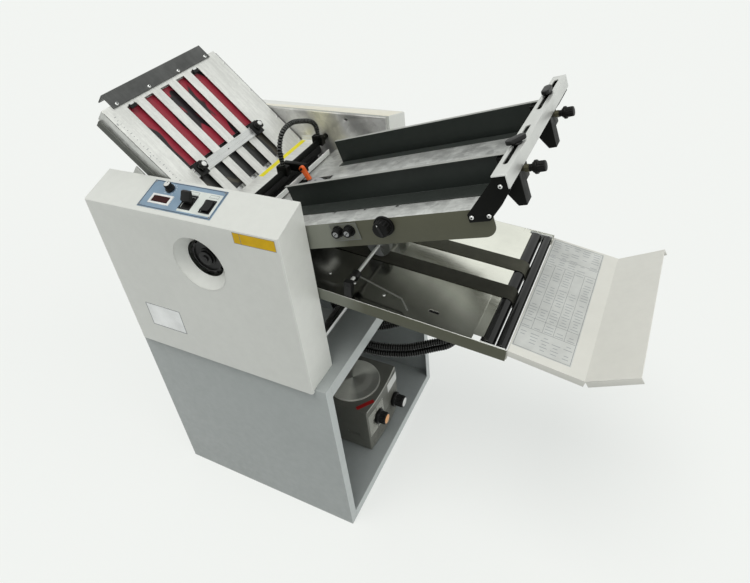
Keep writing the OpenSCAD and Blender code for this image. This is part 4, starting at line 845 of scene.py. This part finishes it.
def knob(b, m, d, h, lobes, mat="plastic", face=None, face_r=0.62, depth=0.12):
    """Skirt, lobed grip and a raised disc, or a hollow where there is no face."""
    r = d / 2
    b.lathe(m, [(r * u, h * v) for u, v in SKIRT], mat, n=72)
    b.lathe(m, [(r * u, h * v) for u, v in GRIP], mat, n=120, lobes=lobes, depth=depth,
            zone=(h * 0.3, h * 0.95))
    if face:
        f = r * face_r
        b.lathe(m, [(f, h * 0.99), (f, h), (f * 0.94, h + 0.35), (0, h + 0.35)], face, n=48)
    else:
        b.lathe(m, [(r * 0.55, h * 0.99), (r * 0.53, h * 0.985 - 0.3), (0, h * 0.985 - 0.4)], mat, n=48)


def grip(body):
    return Bits(body + "_grip", body, "black_plastic")


def speed_dial():
    b = Bits("speed_dial", "speed", "black_plastic")
    x, y = SPEED_AT
    z = 3.8
    knob(b, ROOF @ shift(x, y, z), 22, 17.6, 10, face="alu", face_r=0.66)
    b.plate(ROOF @ shift(x, y + 4.6, z + 17.9), 1.4, 5.5, 0.1, "plastic", r=0.6)
    b.done("speed_knob")


def stop_knobs():
    """Clamp knobs of fold plate 1's stop bar, on their studs."""
    for side, y in zip(("near", "far"), CLAMP_YS):
        b = grip("stop_1_knob_" + side)
        m = PLATE1 @ shift(-13, y, 0)
        b.lathe(m, [(4, 3.6), (4, 15.8)], "bright", n=32)
        m = m @ shift(0, 0, 15.6)
        b.lathe(m, STOP_GRIP, "plastic", n=96, lobes=5, depth=0.24, power=1.4, zone=(4.5, 15))
        b.lathe(m, STOP_CAP, "white")
        b.done("plate1_knob_" + side)


def guide_screws():
    """Adjusting screws of the side guides: stud, nut, collar and knob."""
    for side, y in (("near", -140), ("far", 82)):
        b = grip("guide_" + side + "_screw")
        m = FEED @ shift(418, y, 32) @ turn("Y", 90)
        b.lathe(m, [(4, 0), (4, 38)], "brass", n=32)
        b.lathe(m @ shift(0, 0, 20), [(7, 0), (7.4, 0.4), (7.4, 7.6), (7, 8)], "brass", n=6)
        b.lathe(m @ shift(0, 0, 28), [(6.2, 0), (6.2, 5), (8.8, 6), (8.8, 9)], "deep")
        knob(b, m @ shift(0, 0, 37), 24, 18, 14, mat="deep", depth=0.08, face="deep", face_r=0.4)
        b.done("guide_screw_" + side)


def valve_knobs():
    for side, u in zip(("left", "right"), VALVE_US):
        b = grip("valve_" + side)
        m = FEED @ shift(u, VALVE_FACE - 0.3, -18) @ turn("X", 90)
        knob(b, m, 25, 14.6, 16, mat="deep", depth=0.07, face="grey", face_r=0.46)
        b.plate(m @ turn("Z", 35) @ shift(0, 0, 14.95), 9.5, 1.5, 0.12, "deep", r=0.4)
        b.done("valve_knob_" + side)


def lift_knob():
    """The large knob beside the valve plate, with a bar across it."""
    b = grip("lift")
    m = FEED @ shift(176, -206.3, -15) @ turn("X", 90)
    knob(b, m, 42, 21.0, 14, mat="deep", depth=0.08)
    bar = m @ turn("Z", 100)
    b.plate(bar @ shift(0, 0, 20.6), 25, 5.2, 1.2, "plastic", r=2)
    b.plate(bar @ shift(11.5, 0, 21.8), 3.2, 1.4, 0.15, "paper", r=0.5)
    b.done("lift_knob")


def valve_print():
    """Border of the valve plate and a dot under each knob."""
    b = Bits("valve_print", "machine", "panel_print")
    b.border(FEED @ shift(82, VALVE_FACE, -22) @ turn("X", 90), 64, 38, 0.8, 0.08, "ink")
    for u in VALVE_US:
        dot = FEED @ shift(u, VALVE_FACE, -35) @ turn("X", 90)
        b.lathe(dot, [(1.6, 0), (1.6, 0.08), (0, 0.1)], "ink", n=16)
    b.done()


def bow(y):
    """X of the pump's bowed front."""
    r = (PUMP_W * PUMP_W / 4 + PUMP_BULGE ** 2) / (2 * PUMP_BULGE)
    return PUMP_X + PUMP_BULGE - r + math.sqrt(r * r - (y - PUMP_Y) ** 2)


def pump_knobs():
    """Each stands clear of the front at its edge towards the pump's middle."""
    for side, y, z, h, face in (("near", -21.5, 139, 30, "amber"), ("far", 86, 100, 38, "white")):
        b = grip("pump_" + side)
        inner = y + math.copysign(PUMP_KNOB_D / 2, PUMP_Y - y)
        m = frame_at(bow(inner) + 0.3, y, z, turn("Y", 90))
        knob(b, m, PUMP_KNOB_D, h * 0.985, 12, depth=0.10, face=face, face_r=0.60)
        b.done("pump_knob_" + side)


speed_dial()
stop_knobs()
guide_screws()
valve_knobs()
lift_knob()
valve_print()
pump_knobs()


# -------------------------------- small detail by region
def panel_detail():
    """Border, display window, switch fields and the dial's ticks."""
    b = Bits("panel_detail", "machine", "panel_print")
    top = ROOF @ shift(0, 0, PANEL_T)
    b.border(top, 206, 77, 2.2, 0.15, "panel_dark")
    b.plate(ROOF @ shift(*DISPLAY_AT, 2.35), 47, 17, 0.5, "led")
    b.plate(top @ shift(53, -3, 0), 92, 60, 0.04, "field", r=2)
    for (x, y), w in ((PADDLE_AT, 24), (ROCKER_AT, 22)):
        b.plate(ROOF @ shift(x, y, 1.52), w, 30, 0.06, "deep")
    for k in range(11):
        deg = 225 - 27 * k
        x = SPEED_AT[0] + 14.5 * math.cos(math.radians(deg))
        y = SPEED_AT[1] + 14.5 * math.sin(math.radians(deg))
        b.plate(top @ shift(x, y, 0) @ turn("Z", deg), 3.2, 0.8, 0.12, "paper", r=0.3)
    for (x, _), w in ((PADDLE_AT, 26), (ROCKER_AT, 24)):
        b.border(ROOF @ shift(x, 19.5, 1.6), w, 8, 0.7, 0.1, "ink")
    for y in (34.5, -34.5):
        for x in (-99, 99):
            b.screw(top @ shift(x, y, 0), 4.4, "grey", 0.35)
    b.done()


def cover_plates():
    """Blank plates on the near cover, with ruled borders."""
    b = Bits("cover_plates", "machine", "cover_paint")
    thick, ink = 0.18, 0.06
    label = NEAR @ shift(-152.5, 654.5, 0)
    b.plate(label, 115, 75, thick, "label", r=2)
    b.border(label @ shift(0, 0, thick), 115, 75, 2.0, ink, "ink")
    strip = NEAR @ shift(204, 967.5, 0)
    b.plate(strip, 104, 27, thick, "yellow", r=1.5)
    b.plate(strip @ shift(-34, 0, thick), 1.2, 27, ink, "ink", r=0.2)
    b.border(strip @ shift(0, 0, thick), 104, 27, 0.9, ink, "ink")
    b.done()


def plate1_detail():
    """Scale along the near edge, edge screws, slot clips and painted shadow lines along fold plate 1's
    side edges.
    """
    b = Bits("plate1_detail", "machine", "black_plastic")
    for k in range(30):
        long = k % 5 == 0
        b.plate(PLATE1 @ shift(-222 + 10 * k, -190 + (1.2 if long else 0), 0), 1.1,
                6.0 if long else 3.2, 0.1, "ink", r=0.3)
    for y in (-199, 199):
        for x in (-205, -105, -5, 80):
            b.screw(PLATE1 @ shift(x, y, 0), 5.5, "bright", 0.4)
    for y in CLAMP_YS:
        b.plate(PLATE1 @ shift(-226, y, 0), 12, 20, 3.2, "plastic", r=2, bevel=0.6)
        b.plate(PLATE1 @ shift(-231, y, 3.0), 5, 12, 1.2, "clear", r=1.5, bevel=0.4)
    # Painted shadows: thin dark lines along the sheet's two side edges
    for y in (-203.6, 203.6):
        b.plate(PLATE1 @ shift(-46, y, 0), 392, 1.3, 0.12, "deep", r=0.3)
    b.done()


def fastener_heads():
    """Heads of the stand's bolts, the end bar's screws and the crossbar brackets' screws."""
    b = Bits("fastener_heads", "machine", "bright_steel")
    for y in (-282.5, 282.5):
        for z in (90, 275, 460):
            b.screw(frame_at(-293, y, z, turn("Y", -90)), 10.4)
    for y in (-160, -53, 53, 160):
        b.screw(PLATE1 @ shift(-246, y, 3), 9.5, head=0.45)
    for s in (-1, 1):
        for u, v in ((355, -12), (386, -12), (419, 40)):
            b.screw(FEED @ shift(u, s * 212, v) @ turn("X", -90 * s), 8.5, head=0.42)
    b.done("fasteners")


def table_screws():
    """Screws of the two tables, by their X; the feed table's lie flush under the near guide's foot."""
    b = Bits("table_screws", "machine", "bright_steel")
    flat = Matrix.Scale(0.08, 4, (0, 0, 1))
    for x in (309, 381, 453):
        u = (x - FEED_X) / math.cos(math.radians(FEED_SLOPE))
        b.screw(FEED @ shift(u, -163.5, 0) @ flat, 7, head=0.4)
    for x, y in ((263, -151), (328, -157), (403, -165), (263, 160), (403, 168)):
        u = (x - DELIVERY_X) / math.cos(math.radians(DELIVERY_SLOPE)) - 1.5
        b.screw(DELIVERY @ shift(u, y, 14.7), 7, head=0.4)
    b.done()


def delivery_end_strip():
    """Strip that closes the delivery sheet against the inner end roller."""
    b = Bits("delivery_end_strip", "machine", "galvanised")
    b.plate(DELIVERY @ shift(535.5, 0, 13.2), 23, 380, 1.4, "mirror", bevel=0.3)
    b.done()


def cover_strip():
    """Plain strip on the roller cover's edge."""
    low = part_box("roller_cover")[0] / MM
    b = Bits("cover_strip", "machine", "orange_plastic")
    b.plate(frame_at(low.x + 8, 96, low.z + 2.0), 13, 208, 0.25, "lemon")
    b.done()


def tray_chart():
    """Chart on the catch tray: ruled blocks and rows of short marks, no writing."""
    b = Bits("tray_chart", "machine", "tray_paint")
    sheet = TRAY @ shift(61, 7.5, 0)
    top = sheet @ shift(0, 0, 0.15)
    rules = (-128, -96, 92, 122)
    line = 0.05
    b.plate(sheet, 116, 376, 0.15, "chart")
    b.border(top, 112, 372, 0.9, line, "ink")
    for y in rules:
        b.plate(top @ shift(0, y, 0), 111, 0.8, line, "ink", r=0.2)
    for x in (-34, -12, 10, 32):
        b.plate(top @ shift(x, -18, 0), 0.6, 220, line, "ink", r=0.2)
    rnd = random.Random(11)
    for k in range(42):
        y = 178 - 8.6 * k
        if min(abs(y - q) for q in rules) < 4:
            continue
        for x in (-46, -23, -1, 21, 44):
            w = rnd.choice((0, 9, 12, 15, 17))
            if w:
                b.plate(top @ shift(x, y, 0), w, 1.7, 0.04, "ink_pale", r=0.4)
    b.done()


def pump_plates():
    """Painted highlight line along the top front edge, ribs in a pale tone that stands in for their
    highlights, a bare silver plate and a red mark on the pump.
    """
    b = Bits("pump_plates", "machine", "pump_shell")

    def bar(y0, y1, z, inset, r, sides):
        ends = [Vector(((bow(y) - inset) * MM, y * MM, z * MM)) for y in (y0, y1)]
        b.tube(ends, (r, r), "pump_highlight", sides)

    # Painted highlight: a pale line along the top front edge
    for k in range(12):
        y = -72 + 16.2 * k
        bar(y, y + 16.2, 205.6, 1.4, 0.0016, 8)
    b.plate(frame_at(bow(78) + 0.1, 78, 178, turn("Y", 90)), 34, 78, 1.2, "alu", r=2, bevel=0.3)
    b.plate(frame_at(232, -47, 207.2, turn("Z", -37)), 12, 58, 0.5, "red_film", r=3)
    # Louvre ribs on the front, pale as painted highlight
    for k in range(13):
        z = 96 + 7 * k
        for y0 in (-70, -26):
            for j in range(4):
                y = y0 + 10 * j
                if math.hypot(y + 5 + 21.5, z - 139) > 26:
                    bar(y, y + 10, z, 0, 0.0013, 6)
    b.done()


panel_detail()
cover_plates()
plate1_detail()
fastener_heads()
table_screws()
delivery_end_strip()
cover_strip()
tray_chart()
pump_plates()


# -------------------------------- floor, world and lamps
def make_floor():
    """Pale floor that shows its tone by its own light and keeps the machine's shadow."""
    bm = bmesh.new()
    bmesh.ops.create_circle(bm, cap_ends=True, segments=96, radius=40)
    me = bpy.data.meshes.new("floor")
    bm.to_mesh(me)
    bm.free()
    material = bpy.data.materials.new("floor")
    t = Tree(material)
    lit = t.node("ShaderNodeBsdfDiffuse")
    t.give(lit.inputs[0], (0.299, 0.303, 0.299))
    glow = t.node("ShaderNodeEmission")
    t.give(glow.inputs[0], (0.93, 0.955, 0.925))
    t.give(glow.inputs[1], t.math("ADD", t.math("MULTIPLY", t.seen(), 0.42), 0.20))
    both = t.node("ShaderNodeAddShader")
    t.link(lit.outputs[0], both.inputs[0])
    t.link(glow.outputs[0], both.inputs[1])
    t.link(both.outputs[0], t.node("ShaderNodeOutputMaterial").inputs[0])
    me.materials.append(material)
    o = bpy.data.objects.new("floor", me)
    o.location.z = -0.0005
    SCENE.collection.objects.link(o)


def make_world():
    """Soft light on the object; the rays that show the background see a paler tone."""
    world = bpy.data.worlds.new("studio")
    SCENE.world = world
    t = Tree(world)
    mixed = t.node("ShaderNodeMixShader")
    t.link(t.seen(), mixed.inputs[0])
    for i, color, strength in ((1, (0.97, 0.99, 1.0), 0.46), (2, (0.89, 0.91, 0.885), 1.0)):
        sky = t.node("ShaderNodeBackground")
        t.give(sky.inputs[0], color)
        t.give(sky.inputs[1], strength)
        t.link(sky.outputs[0], mixed.inputs[i])
    t.link(mixed.outputs[0], t.node("ShaderNodeOutputWorld").inputs[0])


def sun(name, direction, strength, angle, color):
    lamp = bpy.data.lights.new(name, "SUN")
    lamp.energy = strength
    lamp.angle = math.radians(angle)
    lamp.color = color
    o = bpy.data.objects.new(name, lamp)
    SCENE.collection.objects.link(o)
    o.rotation_euler = Vector(direction).to_track_quat("Z", "Y").to_euler()


make_floor()
make_world()
sun("key", (-0.05, -0.30, 0.95), 1.62, 35, (1.0, 0.985, 0.96))
sun("fill", (0.9, -0.16, 0.40), 0.85, 60, (0.99, 0.99, 0.98))
SCENE.view_settings.view_transform = "Standard"
